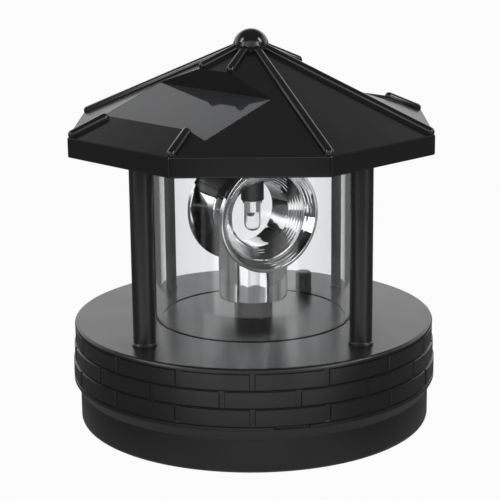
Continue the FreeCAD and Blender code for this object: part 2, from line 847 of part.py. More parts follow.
def gears():
    """The output gear, the compound idler and the motor pinion, all in mesh."""
    to_idler = math.degrees(math.atan2(float(idler_back), float(idler_across)))
    to_motor = math.degrees(math.atan2(float(motor_back - idler_back), -float(idler_across)))
    output_teeth = int(size("output_teeth").number)
    idler_teeth = int(size("idler_teeth").number)
    pinion_teeth = int(size("pinion_teeth").number)
    play = size("gear_play")
    hub_low = size("plate_top") + play

    hub_high = bush_low - play
    output = gear_shape(output_teeth, size("output_face"), size("output_low"),
                        to_idler + HALF_TURN / output_teeth)
    output = output.fuse(upright_cylinder(size("gear_hub"), hub_low, hub_high))
    output = output.cut(upright_cylinder(size("shaft_radius") + size("seat_gap"),
                                         plate_low, deck_low))
    shape_part("output_gear", output.removeSplitter())

    idler_high = deck_low - play
    large_top = size("idler_low") + size("idler_face")
    large = gear_shape(idler_teeth, size("idler_face"), size("idler_low"), to_motor)
    small = gear_shape(pinion_teeth, hub_high - large_top, large_top, to_idler + HALF_TURN)
    idler = large.fuse(small)
    idler = idler.fuse(upright_cylinder(2 * size("idler_pin_radius"), hub_low, idler_high))
    idler = idler.cut(upright_cylinder(size("idler_pin_radius") + size("running_gap"),
                                       plate_low, deck_low))
    place = FreeCAD.Placement(
        FreeCAD.Vector(float(idler_across), float(idler_back), 0), FreeCAD.Rotation())
    shape_part("idler_gear", idler.removeSplitter(), place)

    pinion = gear_shape(pinion_teeth, size("pinion_face"), size("pinion_low"),
                        to_motor + HALF_TURN + HALF_TURN / pinion_teeth)
    pinion = pinion.cut(upright_cylinder(size("motor_shaft_radius") + size("seat_gap"),
                                         plate_low, deck_low))
    place = FreeCAD.Placement(FreeCAD.Vector(0, float(motor_back), 0), FreeCAD.Rotation())
    shape_part("pinion", pinion, place)


def motor_screw_places():
    """The two motor screws, square to the line from the motor to the idler."""
    line = math.degrees(math.atan2(float(idler_back - motor_back), float(idler_across)))
    across, back = polar(1.0, line + 90.0)
    reach = size("motor_screw_radius")
    return [(reach * across, motor_back + reach * back),
            (reach * -across, motor_back - reach * back)]


def gear_plate():
    """The plate that carries the motor, the idler's pin and the lower end of the shaft."""
    body = new_body("gear_plate")
    sketch = new_sketch(body, height=plate_low)
    front = -size("plate_front")
    draw_outline(sketch, [
        (-plate_half, front), (plate_half, front), (plate_half, notch_back),
        (notch_across, notch_back), (notch_across, plate_back), (-plate_half, plate_back)])
    draw_circle(sketch, 0, 0, size("shaft_radius") + size("running_gap"))
    draw_circle(sketch, idler_across, idler_back, size("idler_pin_radius") + size("seat_gap"))
    draw_circle(sketch, 0, motor_back, size("motor_nose_radius") + size("seat_gap"))
    for across, back in PLATE_SCREWS:
        draw_circle(sketch, across, back, screw_hole)
    for across, back in motor_screw_places():
        draw_circle(sketch, across, back, small_hole)
    pad(body, sketch, size("plate_wall"), "Plate")
    round_edges(body, upright_edge, size("plate_boss_radius"), "Corners")


def motor():
    """A flat round motor hung under the plate, its nose up through it."""
    shaft_hole = size("motor_shaft_radius") + size("running_gap")
    can_low = plate_low - size("motor_height")
    nose_high = plate_low + size("motor_nose_height")
    body = turned_part("motor", [
        (0, can_low), (size("motor_radius"), can_low), (size("motor_radius"), plate_low),
        (size("motor_nose_radius"), plate_low), (size("motor_nose_radius"), nose_high),
        (shaft_hole, nose_high), (shaft_hole, size("motor_shaft_low") - size("gear_play")),
        (0, size("motor_shaft_low") - size("gear_play"))], 0, motor_back)
    holes = new_sketch(body, height=plate_low)
    for across, back in motor_screw_places():
        draw_circle(holes, across, back - motor_back, small_pilot)
    pocket(body, holes, size("small_bite") + size("gear_play"), "ScrewHoles")


def shafts():
    """The drive shaft, its bush, the motor's shaft and the idler's pin."""
    shaft_top = size("hub_low") + size("shaft_bite")
    turned_part("drive_shaft", [
        (0, plate_low), (size("shaft_radius"), plate_low), (size("shaft_radius"), shaft_top),
        (0, shaft_top)])
    bush_bore = size("shaft_radius") + size("running_gap")
    turned_part("shaft_bush", [
        (bush_bore, bush_low), (size("bush_flange"), bush_low), (size("bush_flange"), deck_low),
        (size("bush_radius"), deck_low), (size("bush_radius"), boss_top), (bush_bore, boss_top)])
    motor_shaft_top = size("pinion_low") + size("pinion_face") + size("motor_shaft_radius")
    turned_part("motor_shaft", [
        (0, size("motor_shaft_low")), (size("motor_shaft_radius"), size("motor_shaft_low")),
        (size("motor_shaft_radius"), motor_shaft_top), (0, motor_shaft_top)], 0, motor_back)
    turned_part("idler_pin", [
        (0, plate_low), (size("idler_pin_radius"), plate_low),
        (size("idler_pin_radius"), deck_low), (0, deck_low)], idler_across, idler_back)


# ---------------------------------------------------------------- switch


def power_switch():
    """The switch body under the deck, with the well that its button slides in."""
    body = new_body("power_switch")
    half = size("switch_side") / 2
    sketch = new_sketch(body, height=deck_low)
    draw_box(sketch, -half, -half, half, half)
    pad(body, sketch, size("switch_depth"), "Case", down=True)
    well = new_sketch(body, height=deck_low)
    draw_circle(well, 0, 0, size("button_stem") + size("running_gap"))
    well_depth = size("button_stem_depth") + size("button_travel") + size("button_gap")
    pocket(body, well, well_depth, "Well")
    stand_at(body, switch_across, switch_back)


def switch_button():
    """The round button that stands up through the deck."""
    cap_low = deck_low + size("button_travel") + size("seat_gap")
    stem_low = deck_low - size("button_stem_depth")
    body = turned_part("switch_button", [
        (0, stem_low), (size("button_stem"), stem_low), (size("button_stem"), cap_low),
        (size("button_radius"), cap_low), (size("button_radius"), size("button_top")),
        (0, size("button_top"))], switch_across, switch_back)
    round_edges(body, circle_edge_at(size("button_radius"), size("button_top")),
                size("button_round"), "Crown")


# ---------------------------------------------------------------- lens and posts


def lens():
    """The clear tube, and the flat gasket that it presses on at each end."""
    groove_low = size("deck_top") - size("lens_groove")
    groove_high = size("ceiling_low") + size("lens_groove")
    inner = size("lens_radius") - size("lens_wall")
    tube = new_body("lens_tube")
    ring = new_sketch(tube, height=groove_low + size("seal_height"))
    draw_circle(ring, 0, 0, size("lens_radius"))
    draw_circle(ring, 0, 0, inner)
    pad(tube, ring, groove_high - groove_low - 2 * size("seal_height"), "Tube")
    for label, low in (("lens_seal_lower", groove_low),
                       ("lens_seal_upper", groove_high - size("seal_height"))):
        seal = new_body(label)
        flat = new_sketch(seal, height=low)
        draw_circle(flat, 0, 0, size("lens_radius"))
        draw_circle(flat, 0, 0, inner)
        pad(seal, flat, size("seal_height"), "Gasket")


def post(label, angle):
    """A round post with a tenon at each end, drilled for its screws or its wires."""
    tenon = size("tenon_radius")
    radius = size("post_radius")
    side = [(tenon, deck_low), (tenon, size("deck_top")), (radius, size("deck_top")),
            (radius, size("ceiling_low")), (tenon, size("ceiling_low")), (tenon, ceiling_high)]
    if label == WIRED_POST:
        bore = size("wire_bore")
        profile = side + [(bore, ceiling_high), (bore, deck_low)]
    else:
        high_end = ceiling_high - size("pilot_depth")
        low_end = deck_low + size("pilot_depth")
        profile = side + [(screw_pilot, ceiling_high), (screw_pilot, high_end), (0, high_end),
                          (0, low_end), (screw_pilot, low_end), (screw_pilot, deck_low)]
    across, back = polar(1.0, angle)
    turned_part(label, profile, size("post_circle") * across, size("post_circle") * back)


# ---------------------------------------------------------------- reflector


def reflector():
    """The chromed hub with two opposite bells and the throat that joins them."""
    body = new_body("reflector")
    reach = size("bell_reach")
    rim = size("bell_radius")
    back = reach - size("bell_rim_wall")
    barrel = size("throat_radius") + size("barrel_wall")
    root = size("throat_reach") - size("barrel_inset")
    bells = new_sketch(body, "XY_Plane")
    draw_outline(bells, [
        (0, -reach), (rim, -reach), (rim, -back), (barrel, -root), (barrel, root),
        (rim, back), (rim, reach), (0, reach)])
    revolve(body, bells, "Bells")
    hub_low = size("hub_low") - size("bell_height")
    hub = new_sketch(body, height=hub_low)
    draw_circle(hub, 0, 0, size("hub_radius"))
    pad(body, hub, -hub_low, "Hub")
    throat = new_sketch(body, "XY_Plane")
    mouth = rim - size("bell_lip")
    past = reach + size("bell_lip")
    narrow = size("throat_radius")
    deep = size("throat_reach")
    crease = size("crease_radius")
    crease_reach = size("crease_reach")
    draw_outline(throat, [
        (0, -past), (mouth, -past), (mouth, -reach), (crease, -crease_reach), (narrow, -deep),
        (narrow, deep), (crease, crease_reach), (mouth, reach), (mouth, past), (0, past)])
    revolve(body, throat, "Throat", kind="Groove")
    hollow = new_sketch(body, height=hub_low)
    draw_circle(hollow, 0, 0, size("hub_radius") - size("hub_wall"))
    draw_circle(hollow, 0, 0, size("hub_sleeve"))
    hollow_top = -size("throat_radius") - size("hub_web")
    pocket(body, hollow, hollow_top - hub_low, "HubHollow", up=True)
    bore = new_sketch(body, height=hub_low)
    draw_circle(bore, 0, 0, size("shaft_radius") + size("seat_gap"))
    pocket(body, bore, size("shaft_bite") + size("seat_gap"), "ShaftBore", up=True)
    lamp = new_sketch(body)
    draw_circle(lamp, 0, 0, size("lamp_hole"))
    pocket(body, lamp, barrel + size("bell_lip"), "LampHole", up=True)
    body.Placement = FreeCAD.Placement(
        FreeCAD.Vector(0, 0, float(size("bell_height"))),
        FreeCAD.Rotation(FreeCAD.Vector(0, 0, 1), float(size("rest_angle"))))


# ---------------------------------------------------------------- lamp and circuit


def lamp():
    """The clear lamp, its leads and the black holder that hangs from the ceiling."""
    radius = size("lamp_radius")
    dome = size("lamp_tip") + radius
    flange_low = size("lamp_top") - size("lamp_flange_height")
    fused_primitives("led", [
        ("Sphere", dome, {"Radius": radius}),
        ("Cylinder", dome, {"Radius": radius, "Height": size("lamp_top") - dome}),
        ("Cylinder", flange_low, {"Radius": size("lamp_flange_radius"),
                                  "Height": size("lamp_flange_height")})])
    leads = [upright_cylinder(size("lead_radius"), size("lamp_top"), board_low,
                              size("lead_pitch") / 2 * side) for side in (-1, 1)]
    shape_part("led_leads", Part.makeCompound(leads))
    flange_high = ceiling_high + size("holder_flange_height")
    turned_part("led_holder", [
        (size("holder_bore"), size("lamp_top")), (size("holder_radius"), size("lamp_top")),
        (size("holder_radius"), ceiling_high), (size("holder_flange_radius"), ceiling_high),
        (size("holder_flange_radius"), flange_high), (size("holder_bore"), flange_high)])


def board_screw_places():
    """The board's two screws, one at each end."""
    reach = size("board_length") / 2 - size("board_screw_inset")
    return [(-reach, 0), (reach, 0)]


def circuit_board():
    """The board over the lamp, with its inductor and its driver chip."""
    body = new_body("circuit_board")
    half_length = size("board_length") / 2
    half_width = size("board_width") / 2
    sketch = new_sketch(body, height=board_low)
    draw_box(sketch, -half_length, -half_width, half_length, half_width)
    for across, back in board_screw_places():
        draw_circle(sketch, across, back, small_hole)
    pad(body, sketch, size("board_wall"), "Board")
    coil = new_sketch(body, height=board_high)
    draw_circle(coil, 0, half_width / 2, 2 * size("board_wall"))
    pad(body, coil, 2 * size("board_wall"), "Inductor")
    chip = new_sketch(body, height=board_high)
    draw_box(chip, -size("board_wall"), -half_width + size("board_wall"),
             size("board_wall"), -half_width + 3 * size("board_wall"))
    pad(body, chip, size("board_wall"), "Driver")


# ---------------------------------------------------------------- roof


def ceiling():
    """The octagonal plate that closes the roof from below and holds the lens's head."""
    body = new_body("roof_ceiling")
    plate = new_sketch(body, height=size("ceiling_low"))
    draw_octagon(plate, roof_inner_corner - size("ceiling_fit"))
    draw_circle(plate, 0, 0, size("holder_radius") + size("seat_gap"))
    for angle in POST_ANGLES.values():
        across, back = polar(1.0, angle)
        draw_circle(plate, size("post_circle") * across, size("post_circle") * back, tenon_hole)
    pad(body, plate, size("ceiling_wall"), "Plate")
    hole = new_sketch(body, height=ceiling_high)
    draw_circle(hole, size("roof_screw_circle"), 0, screw_hole)
    drilled = pocket(body, hole, size("ceiling_wall"), "ScrewHole")
    repeat_round(body, drilled, 4, "ScrewHoles")
    ring = new_sketch(body, height=size("ceiling_low"))
    draw_circle(ring, 0, 0, size("lens_radius") + size("lens_fit"))
    draw_circle(ring, 0, 0, size("lens_radius") - size("lens_wall") - size("lens_fit"))
    pocket(body, ring, size("lens_groove"), "LensGroove", up=True)
    stands = new_sketch(body, height=ceiling_high)
    for across, back in board_screw_places():
        draw_circle(stands, across, back, 2 * size("small_shank") + size("running_gap"))
        draw_circle(stands, across, back, small_pilot)
    pad(body, stands, size("board_stand"), "BoardStands")


def panel_plane(out):
    """The height of a solar panel's top at a distance out from the axis.

    The panel lies in the plane through the two neighbouring faces' level lines, so that
    its sides end exactly on those faces.
    """
    return roof_apex - facet_slope * DIAGONAL_RATIO * (out + size("panel_half_width"))


def roof_outer():
    """The solid outer form: fascia, pyramid, ridge ribs, panel recesses, finial seat."""
    body = doc.addObject("PartDesign::Body", "roof_outer")
    fascia = new_sketch(body, height=size("eave_low"))
    draw_octagon(fascia, size("roof_corner"))
    pad(body, fascia, size("fascia_height"), "Fascia")
    eave = new_sketch(body, height=fascia_top)
    draw_octagon(eave, size("roof_corner"))
    peak = new_sketch(body, height=roof_apex - size("ridge_slope") * size("finial_stem"))
    draw_octagon(peak, size("finial_stem"))
    pyramid = add_feature(body, "AdditiveLoft", eave, "Pyramid")
    pyramid.Sections = [peak]
    pyramid.Ruled = True

    rib_sketch = new_sketch(body, "XZ_Plane", 0.0, OCTAGON_HALF_ANGLE)
    rib_axis(rib_sketch)
    rib = add_feature(body, "Revolution", rib_sketch, "Rib")
    rib.ReferenceAxis = (rib_sketch, ["Edge1"])
    rib.Angle = 360.0
    repeat_round(body, rib, OCTAGON_SIDES, "Ribs")

    seat = new_sketch(body, "YZ_Plane")
    inner = size("panel_inner")
    outer = size("panel_outer")
    depth = size("panel_thickness") + size("panel_fit")
    sky = roof_apex + size("finial_radius")
    draw_outline(seat, [(-outer, panel_plane(outer) - depth), (-inner, panel_plane(inner) - depth),
                        (-inner, sky), (-outer, sky)])
    recess = pocket(body, seat, 2 * size("panel_half_width"), "PanelSeat", both_ways=True)
    repeat_round(body, recess, 2, "PanelSeats")
    return body


def rib_axis(sketch):
    """Half of a rib's long section: a bar along the ridge with a rounded lower end."""
    run = math.hypot(1.0, float(size("ridge_slope")))
    along = (1.0 / run, -float(size("ridge_slope")) / run)
    square = (-along[1], along[0])
    radius = size("rib_radius")
    start = size("finial_stem")
    lift = size("rib_lift")

    def on_ridge(out):
        return out, roof_apex + lift - size("ridge_slope") * out

    high = on_ridge(start)
    low = on_ridge(size("rib_end"))
    end = (low[0] + radius * along[0], low[1] + radius * along[1])
    side_low = (low[0] + radius * square[0], low[1] + radius * square[1])
    side_high = (high[0] + radius * square[0], high[1] + radius * square[1])

    def vector(point):
        return FreeCAD.Vector(float(point[0]), float(point[1]), 0)

    middle_turn = math.sqrt(0.5)
    bulge = (low[0] + radius * middle_turn * (along[0] + square[0]),
             low[1] + radius * middle_turn * (along[1] + square[1]))
    axis = sketch.addGeometry(Part.LineSegment(vector(high), vector(end)), False)
    nose = sketch.addGeometry(Part.Arc(vector(end), vector(bulge), vector(side_low)), False)
    side = sketch.addGeometry(Part.LineSegment(vector(side_low), vector(side_high)), False)
    close = sketch.addGeometry(Part.LineSegment(vector(side_high), vector(high)), False)
    sketch.addConstraint(Sketcher.Constraint("Coincident", side, 2, close, 1))
    sketch.addConstraint(Sketcher.Constraint("Coincident", close, 2, axis, 1))
    hold_point(sketch, axis, 1, *high)
    hold_point(sketch, axis, 2, *end)
    hold_point(sketch, side, 1, *side_low)
    hold_point(sketch, side, 2, *side_high)
    nose_ends = sketch.getPoint(nose, 1)
    first, second = (1, 2) if nose_ends.distanceToPoint(vector(end)) < 0.01 else (2, 1)
    sketch.addConstraint(Sketcher.Constraint("Coincident", nose, first, axis, 2))
    sketch.addConstraint(Sketcher.Constraint("Coincident", nose, second, side, 1))
    index = sketch.addConstraint(Sketcher.Constraint("Radius", nose, float(radius)))
    sketch.setExpression("Constraints[%d]" % index, radius.text)


def roof_cavity():
    """The roof's hollow: the offset pyramid, less the panel trays and the bosses."""
    body = doc.addObject("PartDesign::Body", "roof_cavity")
    slope = float(facet_slope)
    drop = size("roof_wall") * math.hypot(1.0, slope)
    inner_apex = roof_apex - drop
    knee = inner_apex - size("ridge_slope") * roof_inner_corner
    below = size("eave_low") - size("roof_wall")
    skirt = new_sketch(body, height=below)
    draw_octagon(skirt, roof_inner_corner)
    pad(body, skirt, knee - below, "Skirt")
    base = new_sketch(body, height=knee)
    draw_octagon(base, roof_inner_corner)
    peak = new_sketch(body, height=inner_apex - size("ridge_slope") * size("finial_stem"))
    draw_octagon(peak, size("finial_stem"))
    pyramid = add_feature(body, "AdditiveLoft", base, "Pyramid")
    pyramid.Sections = [peak]
    pyramid.Ruled = True

    tray = new_sketch(body, "YZ_Plane")
    inner = size("panel_inner") - size("panel_tray_wall")
    outer = size("panel_outer") + size("panel_tray_wall")
    depth = size("panel_thickness") + size("panel_fit") + size("panel_tray_wall")
    sky = roof_apex + size("finial_radius")
    draw_outline(tray, [(-outer, panel_plane(outer) - depth), (-inner, panel_plane(inner) - depth),
                        (-inner, sky), (-outer, sky)])
    left = pocket(body, tray, 2 * size("panel_half_width"), "PanelTray", both_ways=True)
    repeat_round(body, left, 2, "PanelTrays")

    boss = new_sketch(body, height=ceiling_high)
    across, back = polar(1.0, 45.0)
    reach = size("roof_screw_circle")
    draw_circle(boss, reach * across, reach * back, size("roof_boss_radius"))
    column = pocket(body, boss, inner_apex - ceiling_high, "Boss", up=True)
    repeat_round(body, column, 4, "Bosses")
    pilots = new_sketch(body, height=ceiling_high - size("seat_gap"))
    draw_circle(pilots, reach * across, reach * back, screw_pilot)
    pilot = pad(body, pilots, screw_bite_in_roof, "Pilot")
    repeat_round(body, pilot, 4, "Pilots")
    finial = new_sketch(body, height=finial_seat_low)
    draw_circle(finial, 0, 0, size("finial_radius") + size("roof_wall") / 2)
    pocket(body, finial, sky - finial_seat_low, "FinialBoss", up=True)
    return body


screw_bite_in_roof = size("screw_bite") - size("ceiling_wall") - size("screw_fit")
finial_seat_low = size("finial_centre") - size("finial_stem_length") - size("seat_gap")


def roof_shell():
    """The roof moulding: its outer form, less its hollow and the finial's seat."""
    shell = doc.addObject("Part::Cut", "roof_moulding")
    shell.Base = roof_outer()
    shell.Tool = roof_cavity()
    ball = doc.addObject("Part::Sphere", "finial_seat_ball")
    bind(ball, "Radius", size("finial_radius") + size("seat_gap"))
    bind(ball, "Placement.Base.z", size("finial_centre"))
    stem = doc.addObject("Part::Cylinder", "finial_seat_stem")
    bind(stem, "Radius", size("finial_stem") + size("seat_gap"))
    bind(stem, "Height", 2 * size("finial_stem_length"))
    bind(stem, "Placement.Base.z", finial_seat_low - size("finial_stem_length"))
    seat = doc.addObject("Part::MultiFuse", "finial_seat")
    seat.Shapes = [ball, stem]
    roof = doc.addObject("Part::Cut", "roof_shell")
    roof.Label = "roof_shell"
    roof.Base = shell
    roof.Tool = seat
    roof.Placement = FreeCAD.Placement(
        FreeCAD.Vector(), FreeCAD.Rotation(FreeCAD.Vector(0, 0, 1), FRONT_PANEL_ANGLE - 270.0))
    sub_parts["roof_shell"] = roof


def finial():
    """The ball on the peak, with the stem that plugs into the roof."""
    fused_primitives("finial_ball", [
        ("Sphere", size("finial_centre"), {"Radius": size("finial_radius")}),
        ("Cylinder", size("finial_centre") - size("finial_stem_length"),
         {"Radius": size("finial_stem"), "Height": size("finial_stem_length")})])


def solar_panel(label, angle):
    """One flat panel in its seat, flush with the roof faces at its two sides."""
    body = new_body(label)
    sketch = new_sketch(body, "YZ_Plane")
    inner = size("panel_inner") + size("panel_fit")
    outer = size("panel_outer") - size("panel_fit")
    depth = size("panel_thickness")
    draw_outline(sketch, [(-outer, panel_plane(outer) - depth), (-inner, panel_plane(inner) - depth),
                          (-inner, panel_plane(inner)), (-outer, panel_plane(outer))])
    width = 2 * (size("panel_half_width") - size("panel_fit"))
    pad(body, sketch, width, "Panel", both_ways=True)
    stand_at(body, 0, 0, angle - 270.0)


# ---------------------------------------------------------------- screws and wiring


def screw(place, seat, heading, shank, head, head_height, reach):
    """A pan-head screw: its head on the seat, its shank along the heading."""
    across, back = (float(as_size(value)) for value in place)
    foot = FreeCAD.Vector(across, back, float(seat))
    way = FreeCAD.Vector(0, 0, heading)
    stalk = Part.makeCylinder(float(shank), float(reach), foot, way)
    cap = Part.makeCylinder(float(head), float(head_height), foot, way * -1)
    return stalk.fuse(cap).removeSplitter()


def case_screw(place, seat, heading, reach):
    """One of the larger screws."""
    return screw(place, seat, heading, size("screw_shank"), size("screw_head"),
                 size("screw_head_height"), reach)


def small_screw(place, seat, heading, reach):
    """One of the smaller screws."""
    return screw(place, seat, heading, size("small_shank"), size("small_head"),
                 size("small_head_height"), reach)


def round_places(radius, angles):
    """Plan positions on one circle."""
    return [polar(float(radius), angle) for angle in angles]


def all_screws():
    """Every screw, one node for each set of equal ones."""
    quarters = [0.0, 90.0, 180.0, 270.0]
    bite = size("screw_bite")
    recess_top = size("floor_wall") - size("button_gap")
    base_reach = base_boss_low - recess_top + bite
    shape_part("base_screws", Part.makeCompound(
        [case_screw(place, recess_top, 1, base_reach)
         for place in round_places(size("base_screw_radius"), quarters)]))
    shape_part("roof_screws", Part.makeCompound(
        [case_screw(place, size("ceiling_low"), 1, bite - size("screw_fit") * 2)
         for place in round_places(size("roof_screw_circle"), quarters)]))
    solid_posts = [angle for label, angle in POST_ANGLES.items() if label != WIRED_POST]
    post_places = round_places(size("post_circle"), solid_posts)
    shape_part("post_screws", Part.makeCompound(
        [case_screw(place, deck_low, 1, bite) for place in post_places]
        + [case_screw(place, ceiling_high, -1, bite) for place in post_places]))
    shape_part("gear_plate_screws", Part.makeCompound(
        [case_screw(place, plate_low, 1, bite) for place in PLATE_SCREWS]))
    shape_part("motor_screws", Part.makeCompound(
        [small_screw(place, size("plate_top"), -1, size("plate_wall") + size("small_bite"))
         for place in motor_screw_places()]))
    shape_part("board_screws", Part.makeCompound(
        [small_screw(place, board_high, -1, size("board_wall") + size("small_bite"))
         for place in board_screw_places()]))
    hatch_seat = size("screw_head_height") + size("battery_lift") / 3
    shape_part("battery_cover_screw", case_screw(
        (tab_screw_across, battery_back), hatch_seat, 1, bite - size("floor_wall")))


def wiring_loom():
    """The wires from the board, down the hollow post, to the motor."""
    radius = float(size("wire_radius"))
    angle = POST_ANGLES[WIRED_POST]
    post_across, post_back = polar(float(size("post_circle")), angle)
    high = float(board_low + size("board_wall") / 2)
    low = float(size("wire_low"))
    board_edge = -float(size("board_length") / 2)
    board_end = FreeCAD.Vector(board_edge - 2 * radius, -board_edge - 2 * radius, high)
    top = FreeCAD.Vector(post_across, post_back, high)
    bottom = FreeCAD.Vector(post_across, post_back, low)
    motor_axis = FreeCAD.Vector(0, float(motor_back), low)
    to_post = (bottom - motor_axis).normalize()
    motor_end = motor_axis + to_post * (float(size("motor_radius")) + float(size("battery_lift")))
    route = [board_end, top, bottom, motor_end]
    bends = [float(size("wire_bend_roof")), float(size("wire_bend_base"))]
    edges = []
    start = route[0]
    for corner, following, bend in zip(route[1:], route[2:], bends):
        arriving = (corner - start).normalize()
        leaving = (following - corner).normalize()
        turn = math.acos(arriving.dot(leaving))
        trim = bend * math.tan(turn / 2)
        before = corner - arriving * trim
        after = corner + leaving * trim
        inward = (leaving - arriving).normalize()
        middle = corner + inward * (bend / math.cos(turn / 2) - bend)
        edges.append(Part.LineSegment(start, before).toShape())
        edges.append(Part.Arc(before, middle, after).toShape())
        start = after
    edges.append(Part.LineSegment(start, route[-1]).toShape())
    path = Part.Wire(edges)
    heading = (route[1] - route[0]).normalize()
    ring = Part.Wire(Part.makeCircle(radius, route[0], heading))
    tube = path.makePipeShell([ring], True, False)
    section = math.pi * radius * radius
    print("wiring loom: length %.1f, volume ratio %.4f"
          % (path.Length, tube.Volume / (section * path.Length)))
    shape_part("wiring_loom", tube)


# ---------------------------------------------------------------- build and write

base_cup()
base_shell()
battery_cover()
battery()
battery_contacts()
gears()
gear_plate()
motor()
shafts()
power_switch()
switch_button()
lens()
for post_label, post_angle in POST_ANGLES.items():
    post(post_label, post_angle)
reflector()
lamp()
circuit_board()
ceiling()
roof_shell()
finial()
solar_panel("solar_panel_front", FRONT_PANEL_ANGLE)
solar_panel("solar_panel_rear", REAR_PANEL_ANGLE)
all_screws()
wiring_loom()
doc.recompute()

for thing in doc.Objects:
    if "Invalid" in thing.State or "Error" in thing.State:
        raise RuntimeError("%s failed: %s" % (thing.Label, thing.State))
for node, part in sub_parts.items():
    if part.Shape.isNull() or not part.Shape.isValid():
        raise RuntimeError("%s has no valid shape" % node)

os.makedirs("parts", exist_ok=True)
for node, part in sub_parts.items():
    part.Shape.exportStep("parts/%s.step" % node)
    print(node, "solids", len(part.Shape.Solids), "volume", round(part.Shape.Volume, 1))
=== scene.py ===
"""A solar garden beacon head in a plain studio: its finishes, its fine meshes, its light."""
import functools
import json
import logging
import math
from dataclasses import dataclass
from enum import Enum

import bmesh
import bpy
import numpy as np
from mathutils import Matrix, Vector


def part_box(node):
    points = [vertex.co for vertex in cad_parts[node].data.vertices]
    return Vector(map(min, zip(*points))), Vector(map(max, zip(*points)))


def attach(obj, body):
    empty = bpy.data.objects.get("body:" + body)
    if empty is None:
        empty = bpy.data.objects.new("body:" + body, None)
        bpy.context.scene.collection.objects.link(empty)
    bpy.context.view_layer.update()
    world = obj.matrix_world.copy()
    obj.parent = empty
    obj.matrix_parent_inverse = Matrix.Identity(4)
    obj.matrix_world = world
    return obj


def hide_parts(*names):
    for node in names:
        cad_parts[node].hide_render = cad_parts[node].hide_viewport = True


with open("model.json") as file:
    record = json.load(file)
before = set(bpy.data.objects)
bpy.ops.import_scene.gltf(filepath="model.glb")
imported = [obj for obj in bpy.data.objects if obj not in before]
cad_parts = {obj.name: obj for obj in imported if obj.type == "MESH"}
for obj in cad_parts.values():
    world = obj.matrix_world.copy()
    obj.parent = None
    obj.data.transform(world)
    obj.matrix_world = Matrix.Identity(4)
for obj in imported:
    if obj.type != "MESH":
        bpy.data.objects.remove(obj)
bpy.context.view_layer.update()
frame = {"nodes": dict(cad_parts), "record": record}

Pair = tuple[float, float]
Triple = tuple[float, float, float]
Piece = bpy.types.Object
Socket = bpy.types.NodeSocket

LOG = logging.getLogger("beacon")
MM = 0.001
MERGE = 2e-7
TINY = 1e-6
SHARP = math.radians(32.0)
UP = (0.0, 0.0, 1.0)
WHITE = (1.0, 1.0, 1.0, 1.0)
SQUARE = ((-1, -1), (1, -1), (1, 1), (-1, 1))
FLAT_SHARE = math.cos(math.pi / 8)  # an octagon's flats' radius over its corners'
PANEL_TURNS = {"solar_panel_front": 225.0, "solar_panel_rear": 45.0}


class Body(Enum):
    """The rigid bodies that pieces ride on."""

    HOUSING = "housing"
    ROTOR = "rotor"
    BUTTON = "button"


class Cut(Enum):
    """How a tool changes a piece."""

    ADD = "UNION"
    TAKE = "DIFFERENCE"


# ---- surfaces


@dataclass
class Skin:
    """A surface in the making: its points in millimetres, and the quads between them."""

    points: np.ndarray
    quads: np.ndarray

    @staticmethod
    def of_grid(points: np.ndarray, close_rows: bool = False) -> "Skin":
        """Join a grid of points, whose columns run round and close.

        Quad (i, j) joins point (i, j) to the next column, the next row and back.

        Args:
            points: an array of rows by columns by three.
            close_rows: whether the last row joins the first.

        Returns:
            The skin.
        """
        rows, columns = points.shape[:2]
        row = np.arange(rows if close_rows else rows - 1)[:, None]
        column = np.arange(columns)[None, :]
        after, right = (row + 1) % rows, (column + 1) % columns
        corners = np.broadcast_arrays(row * columns + column, row * columns + right,
                                      after * columns + right, after * columns + column)
        return Skin(points.reshape(-1, 3), np.stack(corners, axis=-1).reshape(-1, 4))

    def plus(self, other: "Skin") -> "Skin":
        """This skin and another that stands apart from it, as one."""
        return Skin(np.concatenate([self.points, other.points]),
                    np.concatenate([self.quads, other.quads + len(self.points)]))

    def placed(self, shift: Triple, axes: np.ndarray | None = None) -> "Skin":
        """Turn the skin so that its own X, Y and Z lie along axes' rows, then shift it."""
        turned = self.points if axes is None else self.points @ np.asarray(axes)
        return Skin(turned + np.asarray(shift), self.quads)

    def turned(self, degrees: float) -> "Skin":
        """Turn the skin about the upright axis."""
        along, aside = math.cos(math.radians(degrees)), math.sin(math.radians(degrees))
        return self.placed((0.0, 0.0, 0.0), np.array([(along, aside, 0.0),
                                                      (-aside, along, 0.0), UP]))

    def as_piece(self, name: str) -> Piece:
        """Make a mesh object in metres, with its doubled points merged.

        Args:
            name: the piece's name.

        Returns:
            The object, at the origin.
        """
        mesh = bpy.data.meshes.new(name)
        mesh.from_pydata((self.points * MM).tolist(), [], self.quads.tolist())
        work = bmesh.new()
        work.from_mesh(mesh)
        bmesh.ops.remove_doubles(work, verts=work.verts, dist=MERGE)
        bmesh.ops.dissolve_degenerate(work, edges=work.edges, dist=MERGE)
        work.to_mesh(mesh)
        work.free()
        piece = bpy.data.objects.new(name, mesh)
        bpy.context.collection.objects.link(piece)
        return piece


def both_sides(values: np.ndarray) -> np.ndarray:
    """Values, after their negatives."""
    return np.concatenate([-values, values])


def distinct(*groups: np.ndarray) -> np.ndarray:
    """The values of all groups in order, each once, to a thousandth."""
    return np.unique(np.round(np.concatenate(groups), 3))


def pit(distance: np.ndarray, half_width: float, edge: float) -> np.ndarray:
    """The depth share of a flat-floored pit: one inside its half width, zero past its edge."""
    share = np.clip((half_width + edge / 2 - np.abs(distance)) / edge, 0.0, 1.0)
    return share * share * (3 - 2 * share)


